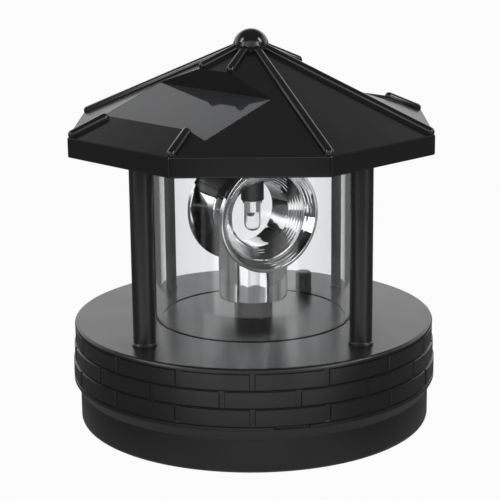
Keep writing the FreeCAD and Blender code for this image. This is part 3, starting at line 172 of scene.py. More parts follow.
def rounded(corners: list[Triple], steps: int = 6, closed: bool = True) -> np.ndarray:
    """An outline with its corners rounded.

    Each leg is trimmed by the radius over the tangent of half the corner's angle, and an arc
    joins the trims. A point on each leg, a third of the radius off, keeps the flats flat.

    Args:
        corners: rows of across, up and corner radius.
        steps: points on each arc.
        closed: whether the last corner joins the first.

    Returns:
        Rows of across and up, steps + 2 of them for each corner.
    """
    given = np.asarray(corners, float)
    place, radius = given[:, :2], given[:, 2:3]
    back = np.roll(place, 1, axis=0) - place
    ahead = np.roll(place, -1, axis=0) - place
    if not closed:
        back[0], ahead[-1] = -ahead[0], -back[-1]
    back /= np.linalg.norm(back, axis=1, keepdims=True)
    ahead /= np.linalg.norm(ahead, axis=1, keepdims=True)
    half = np.arccos(np.clip((back * ahead).sum(axis=1, keepdims=True), -1.0, 1.0)) / 2
    trim = radius / np.tan(half)
    inward = back + ahead
    inward /= np.maximum(np.linalg.norm(inward, axis=1, keepdims=True), 1e-9)
    centre = place + inward * radius / np.sin(half)
    first = (place + back * trim - centre)[:, None]
    last = (place + ahead * trim - centre)[:, None]
    swing = np.maximum(math.pi - 2 * half, TINY)[:, None]
    share = np.linspace(0.0, 1.0, steps)[None, :, None]
    arc = (first * np.sin((1 - share) * swing) + last * np.sin(share * swing)) / np.sin(swing)
    before = (place + back * (trim + radius / 3))[:, None]
    after = (place + ahead * (trim + radius / 3))[:, None]
    return np.concatenate([before, centre[:, None] + arc, after], axis=1).reshape(-1, 2)


def circle(columns: int) -> np.ndarray:
    """A ring of radius one, as rows of x and y."""
    angle = np.linspace(0.0, 2 * math.pi, columns, endpoint=False)
    return np.stack([np.cos(angle), np.sin(angle)], axis=-1)


def carried(outline: np.ndarray, ring: np.ndarray, closed: bool = False) -> Skin:
    """Carry an outline round a ring: each point is the ring times across, at height up.

    Faces point outwards when the outline climbs on its outer side.

    Args:
        outline: rows of across and up in millimetres.
        ring: rows of x and y about radius one.
        closed: whether the outline closes on itself; otherwise it ends on the axis.

    Returns:
        The skin.
    """
    level = outline[:, None, :1] * ring[None]
    height = np.broadcast_to(outline[:, None, 1:], level.shape[:2] + (1,))
    return Skin.of_grid(np.concatenate([level, height], axis=-1), closed)


def plug(radius: float, low: float, high: float, columns: int) -> Skin:
    """A plain cylinder on the upright axis, between two heights."""
    return carried(np.array([(0.0, low), (radius, low), (radius, high), (0.0, high)]),
                   circle(columns))


def capsule(start: np.ndarray, end: np.ndarray, radius: float, columns: int = 28) -> Skin:
    """A round bar with half-ball ends: a quarter circle, a straight and a quarter circle, turned.

    Args:
        start: the centre of one ball.
        end: the centre of the other.
        radius: the bar's and the balls' radius.
        columns: points round the bar.

    Returns:
        The skin.
    """
    along = end - start
    length = float(np.linalg.norm(along))
    along = along / length
    side = np.cross(along, (0.0, 1.0, 0.0) if abs(along[1]) < 0.7 else (1.0, 0.0, 0.0))
    side /= np.linalg.norm(side)
    rise = np.linspace(-math.pi / 2, 0.0, 7)
    low = np.stack([radius * np.cos(rise), radius * np.sin(rise)], axis=-1)
    high = np.stack([low[::-1, 0], length - low[::-1, 1]], axis=-1)
    axes = np.array([side, np.cross(along, side), along])
    return carried(np.concatenate([low, high]), circle(columns)).placed(tuple(start), axes)


def combine(piece: Piece, tool: Skin | Piece, how: Cut) -> None:
    """Add a shape to a piece, or take it away, with an exact boolean that is applied.

    Args:
        piece: the object that changes.
        tool: a skin, or an object that is used up.
        how: whether the tool is added or taken away.
    """
    helper = tool.as_piece("tool") if isinstance(tool, Skin) else tool
    change = piece.modifiers.new("change", "BOOLEAN")
    change.operation = how.value
    change.solver = "EXACT"
    change.object = helper
    bpy.context.view_layer.update()
    seen = piece.evaluated_get(bpy.context.evaluated_depsgraph_get())
    mesh = bpy.data.meshes.new_from_object(seen)
    piece.modifiers.clear()
    used = (piece.data, helper.data)
    piece.data = mesh
    bpy.data.objects.remove(helper)
    for spare in used:
        bpy.data.meshes.remove(spare)
    mesh.name = piece.name


def seat_of(node: str) -> tuple[Triple, float, float]:
    """Where a CAD node stands, in millimetres.

    Args:
        node: its name.

    Returns:
        The level shift to its middle, its lowest height and its highest.
    """
    low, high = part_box(node)
    middle = (low + high) / 2 / MM
    return (middle.x, middle.y, 0.0), low.z / MM, high.z / MM


# ---- node helpers


class Recipe:
    """A small writer of shader nodes in one tree."""

    def __init__(self, tree: bpy.types.NodeTree) -> None:
        """Start writing in the tree of a material, a world or a group."""
        self.tree = tree

    def node(self, kind: str, inputs: dict | None = None, **settings: object) -> bpy.types.Node:
        """Add a node.

        Args:
            kind: the node's type name without the ShaderNode prefix.
            inputs: socket name to a value, or to an output socket to link from.
            settings: attributes of the node itself.

        Returns:
            The new node.
        """
        made = self.tree.nodes.new("ShaderNode" + kind)
        for name, value in settings.items():
            setattr(made, name, value)
        for name, value in (inputs or {}).items():
            self.feed(made.inputs[name], value)
        return made

    def feed(self, socket: Socket, value: object) -> None:
        """Set an input socket to a plain value, or link an output socket to it.

        Args:
            socket: the input.
            value: the value, or the output socket.
        """
        if isinstance(value, Socket):
            self.tree.links.new(value, socket)
        else:
            socket.default_value = value

    def math(self, operation: str, *values: object) -> Socket:
        """Add a Math node.

        Args:
            operation: its operation.
            values: its inputs in order.

        Returns:
            Its output.
        """
        made = self.node("Math", operation=operation)
        for socket, value in zip(made.inputs, values):
            self.feed(socket, value)
        return made.outputs[0]

    def product(self, value: object, *others: object) -> Socket:
        """Multiply a value by each of the others in turn."""
        for other in others:
            value = self.math("MULTIPLY", value, other)
        return value

    def noise(self, vector: object, scale: object, detail: float = 3.0) -> Socket:
        """Add a noise texture read at a vector, and return its factor."""
        made = self.node("TexNoise", {"Vector": vector, "Scale": scale, "Detail": detail})
        return made.outputs["Fac"]

    def spread(self, value: object, low: float, high: float,
               start: float = 0.0, end: float = 1.0) -> Socket:
        """Map a value, clamped between start and end, onto the range from low to high."""
        made = self.node("MapRange", {"Value": value, "From Min": start, "From Max": end,
                                      "To Min": low, "To Max": high})
        return made.outputs["Result"]

    def blend(self, factor: object, first: object, second: object) -> Socket:
        """Mix two colours.

        Args:
            factor: the second one's share.
            first: a colour, or an output socket.
            second: the same.

        Returns:
            The mixed colour.
        """
        mix = self.node("Mix", {"Factor": factor}, data_type="RGBA")
        for name, colour in (("A", first), ("B", second)):
            plain = not isinstance(colour, Socket)
            self.feed(mix.inputs[name], (*colour, 1.0) if plain else colour)
        return mix.outputs["Result"]

    def bump(self, height: object, distance: float) -> Socket:
        """Add a Bump node over a height, and return its normal."""
        return self.node("Bump", {"Height": height, "Distance": distance}).outputs["Normal"]


def new_group(name: str, inputs: dict[str, float], outputs: tuple[str, ...]) -> tuple:
    """Make an empty shader group with a Place vector input and float sockets.

    Args:
        name: the group's name.
        inputs: float input names and their defaults.
        outputs: float output names.

    Returns:
        The group, a Recipe in it, its input node and its output node.
    """
    group = bpy.data.node_groups.new(name, "ShaderNodeTree")
    group.interface.new_socket("Place", in_out="INPUT", socket_type="NodeSocketVector")
    for label, value in inputs.items():
        socket = group.interface.new_socket(label, in_out="INPUT", socket_type="NodeSocketFloat")
        socket.default_value = value
    for label in outputs:
        group.interface.new_socket(label, in_out="OUTPUT", socket_type="NodeSocketFloat")
    entry = group.nodes.new("NodeGroupInput")
    leave = group.nodes.new("NodeGroupOutput")
    return group, Recipe(group), entry, leave


def mould_grain() -> bpy.types.NodeTree:
    """The skin of moulded plastic: fine grain, slow sink waves and uneven polish.

    Returns:
        A group with outputs Height, for a Bump node, and Polish, a factor for roughness.
    """
    shares = {"Height": (0.35, 1.0), "Polish": (0.3, 0.7)}
    group, recipe, entry, leave = new_group(
        "MouldGrain", {"Grain": 2600.0, "Waves": 55.0}, tuple(shares))
    place = entry.outputs["Place"]
    fine = recipe.noise(place, entry.outputs["Grain"], 2.0)
    slow = recipe.noise(place, entry.outputs["Waves"], 1.5)
    for label, (fine_share, slow_share) in shares.items():
        recipe.feed(leave.inputs[label], recipe.math(
            "ADD", recipe.product(fine, fine_share), recipe.product(slow, slow_share)))
    return group


def dust_film() -> bpy.types.NodeTree:
    """A thin film of dust that lies on level faces.

    Returns:
        A group with the output Mask, from 0 on bare faces to about 1 where dust lies.
    """
    group, recipe, entry, leave = new_group("DustFilm", {"Specks": 900.0}, ("Mask",))
    normal = recipe.node("NewGeometry").outputs["Normal"]
    up = recipe.node("SeparateXYZ", {"Vector": normal}).outputs["Z"]
    cloud = recipe.noise(entry.outputs["Place"], entry.outputs["Specks"], 4.0)
    recipe.feed(leave.inputs["Mask"], recipe.product(
        recipe.spread(up, 0.0, 1.0, 0.6, 1.0), recipe.spread(cloud, 0.0, 1.0, 0.52, 0.8)))
    return group


GRAIN_EFFECT = mould_grain()
DUST_EFFECT = dust_film()


def shade(colour: Triple, share: float) -> Triple:
    """A colour times a share."""
    return tuple(share * part for part in colour)


# ---- finishes


@dataclass(frozen=True)
class Finish:
    """A named finish of a Principled shader."""

    name: str

    def inputs(self, recipe: Recipe, place: Socket) -> dict[str, object]:
        """Write the finish's nodes. Each kind of finish has its own.

        Args:
            recipe: the writer in the material's tree.
            place: the object coordinates.

        Returns:
            The shader's inputs: socket name to a value, or to an output socket.
        """
        raise NotImplementedError

    def make(self) -> bpy.types.Material:
        """Build the material, with plain values on the shader's own sockets.

        Returns:
            The material.
        """
        material = bpy.data.materials.new(self.name)
        material.use_nodes = True
        recipe = Recipe(material.node_tree)
        shader = material.node_tree.nodes["Principled BSDF"]
        place = recipe.node("TexCoord").outputs["Object"]
        for name, value in self.inputs(recipe, place).items():
            recipe.feed(shader.inputs[name], value)
        return material


@dataclass(frozen=True)
class MouldedPlastic(Finish):
    """Solid moulded plastic with a grained, unevenly polished skin."""

    colour: Triple
    roughness: float = 0.25
    polish_spread: float = 0.06
    bump_depth: float = 0.00001
    grain_scale: float = 2600.0
    wave_scale: float = 55.0
    mottle: float = 0.2
    dust: float = 0.0
    dust_colour: Triple = (0.4, 0.39, 0.37)
    dust_roughness: float = 0.4

    def inputs(self, recipe: Recipe, place: Socket) -> dict[str, object]:
        """Mottle the colour and the roughness by the polish, then lay the dust on both.

        Args:
            recipe: the writer in the material's tree.
            place: the object coordinates.

        Returns:
            The shader's inputs.
        """
        grain = recipe.node("Group", {"Place": place, "Grain": self.grain_scale,
                                      "Waves": self.wave_scale}, node_tree=GRAIN_EFFECT)
        polish = grain.outputs["Polish"]
        roughness = recipe.spread(polish, self.roughness - self.polish_spread,
                                  self.roughness + self.polish_spread)
        colour = recipe.blend(polish, shade(self.colour, 1.0 - self.mottle),
                              shade(self.colour, 1.0 + self.mottle))
        if self.dust:
            film = recipe.node("Group", {"Place": place}, node_tree=DUST_EFFECT)
            amount = recipe.product(film.outputs["Mask"], self.dust)
            colour = recipe.blend(amount, colour, self.dust_colour)
            roughness = recipe.math("ADD", roughness,
                                    recipe.product(amount, self.dust_roughness))
        return {"Base Color": colour, "Roughness": roughness,
                "Normal": recipe.bump(grain.outputs["Height"], self.bump_depth)}


@dataclass(frozen=True)
class PlatedMirror(Finish):
    """Vacuum-plated plastic: a bright mirror with a slow ripple and faint smears."""

    colour: Triple = (0.86, 0.865, 0.87)
    smear_share: float = 0.92
    roughness: float = 0.02
    smear: float = 0.03
    ripple_scale: float = 140.0
    ripple_depth: float = 0.00012

    def inputs(self, recipe: Recipe, place: Socket) -> dict[str, object]:
        """Smear the colour and the roughness, and ripple the normal.

        Args:
            recipe: the writer in the material's tree.
            place: the object coordinates.

        Returns:
            The shader's inputs.
        """
        ripple = recipe.noise(place, self.ripple_scale, 1.5)
        film = recipe.noise(place, 3.0 * self.ripple_scale, 4.0)
        return {"Metallic": 1.0,
                "Base Color": recipe.blend(film, self.colour,
                                           shade(self.colour, self.smear_share)),
                "Roughness": recipe.spread(film, self.roughness, self.roughness + self.smear),
                "Normal": recipe.bump(ripple, self.ripple_depth)}


@dataclass(frozen=True)
class ClearPlastic(Finish):
    """Clear plastic with a faint haze and a smooth wavy skin."""

    colour: Triple = (0.95, 0.96, 0.965)
    refraction: float = 1.49
    roughness: float = 0.008
    haze: float = 0.012
    ripple_scale: float = 35.0
    ripple_depth: float = 0.00001

    def inputs(self, recipe: Recipe, place: Socket) -> dict[str, object]:
        """Smear the roughness, and ripple the normal.

        Args:
            recipe: the writer in the material's tree.
            place: the object coordinates.

        Returns:
            The shader's inputs.
        """
        ripple = recipe.noise(place, self.ripple_scale, 1.0)
        smear = recipe.noise(place, 6.0 * self.ripple_scale, 3.0)
        return {"Base Color": (*self.colour, 1.0), "Transmission Weight": 1.0,
                "IOR": self.refraction,
                "Roughness": recipe.spread(smear, self.roughness, self.roughness + self.haze),
                "Normal": recipe.bump(ripple, self.ripple_depth)}


@dataclass(frozen=True)
class SolarFace(Finish):
    """A dark cell under smooth clear resin, crossed by faint cell gaps."""

    cell: Triple = (0.020, 0.021, 0.024)
    gap: Triple = (0.026, 0.027, 0.030)
    cell_pitch: float = 0.0115
    cell_offset: float = 100.5
    gap_share: float = 0.03
    turn: float = math.radians(45.0)
    refraction: float = 1.5
    roughness: Pair = (0.05, 0.09)
    wave_depth: float = 0.00002

    def inputs(self, recipe: Recipe, place: Socket) -> dict[str, object]:
        """Draw a gap where the fraction of the distance over the pitch is small.

        Args:
            recipe: the writer in the material's tree.
            place: the object coordinates.

        Returns:
            The shader's inputs.
        """
        turned = recipe.node("Mapping", {"Vector": place, "Rotation": (0.0, 0.0, self.turn)})
        along = recipe.node("SeparateXYZ", {"Vector": turned.outputs["Vector"]}).outputs["X"]
        cells = recipe.math("ADD", recipe.math("DIVIDE", along, self.cell_pitch),
                            self.cell_offset)
        line = recipe.math("LESS_THAN", recipe.math("FRACT", cells), self.gap_share)
        return {"IOR": self.refraction, "Base Color": recipe.blend(line, self.cell, self.gap),
                "Roughness": recipe.spread(recipe.noise(place, 180.0), *self.roughness),
                "Normal": recipe.bump(recipe.noise(place, 45.0, 1.0), self.wave_depth)}


@dataclass(frozen=True)
class PlainMetal(Finish):
    """Turned or pressed metal with fine tool lines round the upright axis."""

    colour: Triple
    roughness: float = 0.3
    roughness_spread: float = 0.08
    line_share: float = 0.8
    line_scale: float = 4000.0
    line_depth: float = 0.000004

    def inputs(self, recipe: Recipe, place: Socket) -> dict[str, object]:
        """Draw the lines with a noise that is stretched level.

        Args:
            recipe: the writer in the material's tree.
            place: the object coordinates.

        Returns:
            The shader's inputs.
        """
        squashed = recipe.node("Mapping", {"Vector": place, "Scale": (0.05, 0.05, 1.0)})
        lines = recipe.noise(squashed.outputs["Vector"], self.line_scale, 2.0)
        return {"Metallic": 1.0,
                "Base Color": recipe.blend(lines, self.colour,
                                           shade(self.colour, self.line_share)),
                "Roughness": recipe.spread(lines, self.roughness - self.roughness_spread,
                                           self.roughness + self.roughness_spread),
                "Normal": recipe.bump(lines, self.line_depth)}


STEEL = PlainMetal("bright_steel", (0.56, 0.56, 0.57))
ROOF_BLACK = MouldedPlastic("roof_black", (0.005, 0.005, 0.0055), roughness=0.15,
                            polish_spread=0.03, bump_depth=0.000003, dust=0.004)
SLOT_FINISH = {
    "black_body": MouldedPlastic("satin_black", (0.006, 0.006, 0.0065), 0.30, dust=0.006),
    "clear_lens": ClearPlastic("clear_tube"),
    "seal_rubber": MouldedPlastic("seal_black", (0.010, 0.010, 0.010), 0.3),
    "mirror_plating": PlatedMirror("mirror_plating"),
    "lamp_clear": ClearPlastic("clear_lamp", refraction=1.53, haze=0.01),
    "solar_cell": SolarFace("solar_face"),
    "board_green": MouldedPlastic("board_green", (0.02, 0.11, 0.05), 0.35),
    "switch_black": MouldedPlastic("switch_black", (0.012, 0.012, 0.012), 0.35),
    "gear_nylon": MouldedPlastic("gear_nylon", (0.72, 0.70, 0.64), 0.4),
    "steel_bright": STEEL,
    "steel_screw": PlainMetal("plated_screw", (0.42, 0.42, 0.43), 0.35),
    "motor_case": STEEL,
    "brass_bush": PlainMetal("bush_brass", (0.70, 0.50, 0.20), 0.3),
    "cell_sleeve": MouldedPlastic("cell_sleeve", (0.05, 0.19, 0.06), 0.3),
    "wire_red": MouldedPlastic("wire_red", (0.42, 0.02, 0.015), 0.4),
}
MADE: dict[str, bpy.types.Material] = {}


def dress(piece: Piece, finish: Finish) -> None:
    """Give a piece the one material of a finish, built when it is first asked for.

    Args:
        piece: the object.
        finish: its finish.
    """
    if finish.name not in MADE:
        MADE[finish.name] = finish.make()
    piece.data.materials.clear()
    piece.data.materials.append(MADE[finish.name])
    LOG.info("%s: %d faces, %s", piece.name, len(piece.data.polygons), finish.name)


def install(piece: Piece, body: Body, slot: str, *nodes: str,
            finish: Finish | None = None) -> None:
    """Finish a piece, seat it on its body and let it stand for CAD nodes.

    Args:
        piece: the object.
        body: the body that it rides on.
        slot: the record's material slot.
        nodes: the CAD nodes that it stands for.
        finish: a finish other than the slot's.
    """
    piece.data.shade_smooth()
    piece.data.set_sharp_from_angle(angle=SHARP)
    dress(piece, finish or SLOT_FINISH[slot])
    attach(piece, body.value)
    if nodes:
        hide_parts(*nodes)


# ---- base


@dataclass
class BrickBand:
    """The deck with its shaft boss and the skirt of three brick courses."""

    radius: float = 54.0
    course_step: float = 0.35
    course_low: float = 14.4
    course_height: float = 4.95
    step_ease: float = 0.12
    foot: float = 13.1
    deck: float = 30.5
    deck_wall: float = 2.0
    skirt_low: float = 9.9
    skirt_bore: float = 51.0
    spigot: float = 52.2
    rim_round: float = 0.8
    boss: float = 5.7
    boss_top: float = 35.8
    bush_hole: float = 2.72
    groove_inner: float = 27.45
    groove_outer: float = 29.2
    groove_depth: float = 0.9
    bricks: int = 16
    shift: float = 13.6
    head_half: float = 0.8
    head_depth: float = 0.4
    head_edge: float = 0.2
    head_end: float = 0.1
    bed_half: float = 0.25
    bed_depth: float = 0.35
    bed_edge: float = 0.16
    notch_angle: float = -78.5
    notch_half: float = 5.0
    notch_height: float = 1.0
    notch_depth: float = 0.6
    notch_edge: float = 0.3
    notch_ease: float = 0.25
    button_hole: float = 2.95
    arc_steps: int = 6
    wall_gap: float = 0.02
    column_step: float = 2.5
    bed_rows: tuple[float, ...] = (0.0, 0.08, 0.17, 0.25, 0.33, 0.42, 0.6)
    course_rows: Triple = (0.3, 0.5, 0.7)
    notch_rows: tuple[float, ...] = (0.35, 0.5, 0.65, 0.8, 0.92)
    head_columns: tuple[float, ...] = (0.3, 0.62, 0.7, 0.8, 0.9, 0.98, 1.25)

    def build(self) -> None:
        """Make the band, bore the button's hole and install it."""
        piece = self.skin().as_piece("brick_band")
        shift, _, _ = seat_of("switch_button")
        drill = plug(self.button_hole, self.deck - 2 * self.deck_wall, self.deck + 1.0, 48)
        combine(piece, drill.placed(shift), Cut.TAKE)
        install(piece, Body.HOUSING, "black_body", "base_shell")

    def beds(self) -> np.ndarray:
        """The heights of the four level joints."""
        return self.course_low + self.course_height * np.arange(4)

    def outline(self) -> tuple[np.ndarray, np.ndarray]:
        """The section, with the brick wall's rows set into it.

        Returns:
            Rows of across and up, and a mask that is one on the brick wall.
        """
        top = self.radius - 2 * self.course_step
        under = self.deck - self.deck_wall
        floor = self.deck - self.groove_depth
        rows = rounded([
            (self.bush_hole, under, 0.0), (self.skirt_bore, under, 0.3),
            (self.skirt_bore, self.skirt_low, 0.1), (self.spigot, self.skirt_low, 0.15),
            (self.radius, self.foot, 0.5), (top, self.deck, self.rim_round),
            (self.groove_outer, self.deck, 0.12), (self.groove_outer, floor, 0.0),
            (self.groove_inner, floor, 0.0), (self.groove_inner, self.deck, 0.12),
            (self.boss, self.deck, 0.25), (self.boss, self.boss_top, 0.35),
            (self.bush_hole, self.boss_top, 0.0)], self.arc_steps)
        at = 5 * (self.arc_steps + 2)
        beds = self.beds()[:, None]
        heights = distinct((beds + both_sides(np.array(self.bed_rows))).ravel(),
                           (beds[:3] + self.course_height * np.array(self.course_rows)).ravel(),
                           self.foot + np.array(self.notch_rows))
        heights = heights[(heights > rows[at - 1, 1] + self.wall_gap)
                          & (heights < rows[at, 1] - self.wall_gap)]
        wall = np.stack([self.course_radius(heights), heights], axis=-1)
        mask = np.zeros(len(rows) + len(wall))
        mask[at:at + len(wall)] = 1.0
        return np.concatenate([rows[:at], wall, rows[at:]]), mask

    def course_radius(self, height: np.ndarray) -> np.ndarray:
        """The wall's radius: each course above the first stands one step further in."""
        above = (height[:, None] - self.beds()[None, 1:3]) / self.step_ease + 0.5
        return self.radius - self.course_step * np.clip(above, 0.0, 1.0).sum(axis=1)

    def angles(self) -> np.ndarray:
        """The columns: an even spread, with more beside each upright joint and notch end.

        Returns:
            Degrees, in order.
        """
        beside = np.degrees(np.array(self.head_columns) / self.radius)
        start = -90.0 + 360.0 / self.bricks * np.arange(self.bricks)
        joints = np.concatenate([start, start + self.shift])[:, None]
        ends = both_sides(np.degrees(np.array([self.notch_half / self.radius])))[:, None]
        notch = self.notch_angle + ends + both_sides(0.6 * beside[:3])
        spread = np.arange(0.0, 360.0, self.column_step)
        return distinct(np.mod(np.concatenate(
            [spread, (joints + both_sides(beside)).ravel(), notch.ravel()]), 360.0))

    def arc(self, angle: np.ndarray, centre: float, period: float = 360.0) -> np.ndarray:
        """The arc to the nearest of the angles that lie a period apart, one on the centre."""
        away = np.mod(angle - centre + period / 2, period) - period / 2
        return np.radians(away) * self.radius

    def relief(self, angle: np.ndarray, height: np.ndarray) -> np.ndarray:
        """The joints' depth over the wall, in millimetres.

        It is the greatest of the level joints' groove, a pit of the height above each bed,
        the upright joints' recess, a pit of the arc to the nearest joint of that course, and
        the notch at the foot, a pit of both.

        Args:
            angle: the columns in degrees.
            height: the rows' heights.

        Returns:
            An array of rows by columns.
        """
        beds, half = self.beds(), self.course_height / 2
        level = pit(height[:, None] - beds[None], self.bed_half, self.bed_edge).max(axis=1)
        depth = self.bed_depth * level[:, None]
        for course, turn in enumerate((0.0, self.shift, 0.0)):
            upright = pit(self.arc(angle, turn - 90.0, 360.0 / self.bricks),
                          self.head_half, self.head_edge)
            inside = pit(height - beds[course] - half, half, self.head_end)
            depth = np.maximum(depth, self.head_depth * inside[:, None] * upright[None])
        wide = pit(self.arc(angle, self.notch_angle), self.notch_half, self.notch_edge)
        tall = pit(height - self.foot, self.notch_height, self.notch_ease)
        return np.maximum(depth, self.notch_depth * tall[:, None] * wide[None])

    def skin(self) -> Skin:
        """The band's surface: the section carried round, less the joints' depth.

        Returns:
            The skin.
        """
        rows, wall = self.outline()
        angle = self.angles()
        across = rows[:, :1] - self.relief(angle, rows[:, 1]) * wall[:, None]
        turn = np.radians(angle)[None]
        height = np.broadcast_to(rows[:, 1:], across.shape)
        return Skin.of_grid(np.stack([across * np.cos(turn), across * np.sin(turn), height],
                                     axis=-1), close_rows=True)


@dataclass
class Button:
    """The fluted switch button behind the tube."""

    radius: float = 2.7
    stem: float = 1.6
    flutes: int = 18
    flute_columns: int = 12
    flute_depth: float = 0.22
    flute_fade: float = 0.6
    flute_start: float = 1.9
    cap_low: float = 30.02
    crown: float = 0.7

    def build(self) -> None:
        """Carry the section round a fluted ring: radius one less half a cosine of each flute."""
        shift, low, high = seat_of("switch_button")
        ring = circle(self.flutes * self.flute_columns)
        angle = np.arctan2(ring[:, 1], ring[:, 0])
        outline = rounded([(0.0, low, 0.0), (self.stem, low, 0.1),
                           (self.stem, self.cap_low, 0.0), (self.radius, self.cap_low, 0.1),
                           (self.radius, high, self.crown), (0.0, high, 0.0)], closed=False)
        skin = carried(outline, ring)
        side = pit(outline[:, 1] - (self.cap_low + high) / 2, (high - self.cap_low) / 2,
                   self.flute_fade) * (outline[:, 0] > self.flute_start)
        wave = 0.5 - 0.5 * np.cos(self.flutes * angle)
        share = 1 - self.flute_depth / self.radius * side[:, None] * wave[None]
        skin.points[:, :2] *= share.reshape(-1, 1)
        install(skin.placed(shift).as_piece("fluted_button"),
                Body.BUTTON, "switch_black", "switch_button")


# ---- tube, posts, lamp


@dataclass
class Lantern:
    """The clear tube, the posts round it and the lamp that hangs in it."""

    tube: float = 29.0
    tube_wall: float = 1.5
    tube_edge: float = 0.2
    post: float = 3.2
    post_low: float = 30.5
    post_high: float = 84.0
    foot_flare: float = 0.35
    foot_height: float = 0.5
    foot_blend: float = 0.9
    lamp: float = 2.5
    lamp_flange: float = 2.9
    lamp_flange_height: float = 1.0
    cup: float = 0.95
    cup_place: float = -0.35
    cup_rise: float = 4.6
    cup_height: float = 1.0
    cup_depth: float = 0.5
    blade: float = 0.25
    blade_ease: float = 0.3
    blade_end: float = 0.05
    blades: tuple[Triple, ...] = ((-0.95, 4.9, 0.5), (1.15, 6.0, 0.45))  # across, rise, half width

    def build(self) -> None:
        """Make and install every piece."""
        self.clear_tube()
        for node in ("post_front_left", "post_front_right", "post_back_left", "post_back_right"):
            self.turned_post(node)
        self.clear_lamp()
        self.lead_frame()

    def clear_tube(self) -> None:
        """A tube whose four rims are slightly rounded."""
        _, low, high = seat_of("lens_tube")
        inner = self.tube - self.tube_wall
        outline = rounded([(across, height, self.tube_edge) for across, height in (
            (inner, low), (self.tube, low), (self.tube, high), (inner, high))])
        install(carried(outline, circle(256), closed=True).as_piece("clear_tube"),
                Body.HOUSING, "clear_lens", "lens_tube")

    def turned_post(self, node: str) -> None:
        """A round post with a small flare at its foot.

        Args:
            node: the CAD node that it stands for.
        """
        shift, _, _ = seat_of(node)
        low, high, wide = self.post_low, self.post_high, self.post + self.foot_flare
        outline = rounded([(0.0, low, 0.0), (wide, low, 0.08),
                           (wide, low + self.foot_height, 0.1),
                           (self.post, low + self.foot_blend, 0.4), (self.post, high, 0.05),
                           (0.0, high, 0.0)], closed=False)
        install(carried(outline, circle(96)).placed(shift).as_piece("turned_" + node),
                Body.HOUSING, "black_body", node)

    def clear_lamp(self) -> None:
        """The lamp's clear body: a ball nose, a barrel and a flange."""
        _, low, high = seat_of("led")
        nose = np.linspace(-math.pi / 2, 0.0, 18)
        dome = np.stack([self.lamp * np.cos(nose), low + self.lamp * (1 + np.sin(nose))], axis=-1)
        flange = high - self.lamp_flange_height
        rest = rounded([(self.lamp, flange, 0.0), (self.lamp_flange, flange, 0.1),
                        (self.lamp_flange, high, 0.1), (0.0, high, 0.0)], closed=False)
        install(carried(np.concatenate([dome, rest]), circle(96)).as_piece("clear_lamp"),
                Body.HOUSING, "lamp_clear", "led")

    def lead_frame(self) -> None:
        """The two flat leads inside the lamp, and the cup for the chip."""
        _, low, high = seat_of("led")
        foot = low + self.cup_rise
        rim = foot + self.cup_height
        section = rounded([(0.0, foot, 0.0), (0.5 * self.cup, foot, 0.05),
                           (self.cup, rim, 0.05), (0.7 * self.cup, rim, 0.05),
                           (0.35 * self.cup, rim - self.cup_depth, 0.05),
                           (0.0, rim - self.cup_depth, 0.0)], closed=False)
        leads = carried(section, circle(48)).placed((self.cup_place, 0.0, 0.0))
        for across, rise, width in self.blades:
            ring = rounded([(x * width, y * self.blade, 0.08) for x, y in SQUARE], 3)
            neck, end = low + rise - self.blade_ease, high - self.blade_end
            climb = np.array([(0.0, neck), (0.9, neck), (1.0, low + rise), (1.0, end),
                              (0.0, end)])
            leads = leads.plus(carried(climb, ring).placed((across, 0.0, 0.0)))
        install(leads.as_piece("lamp_lead_frame"), Body.HOUSING, "steel_bright")


# ---- reflector


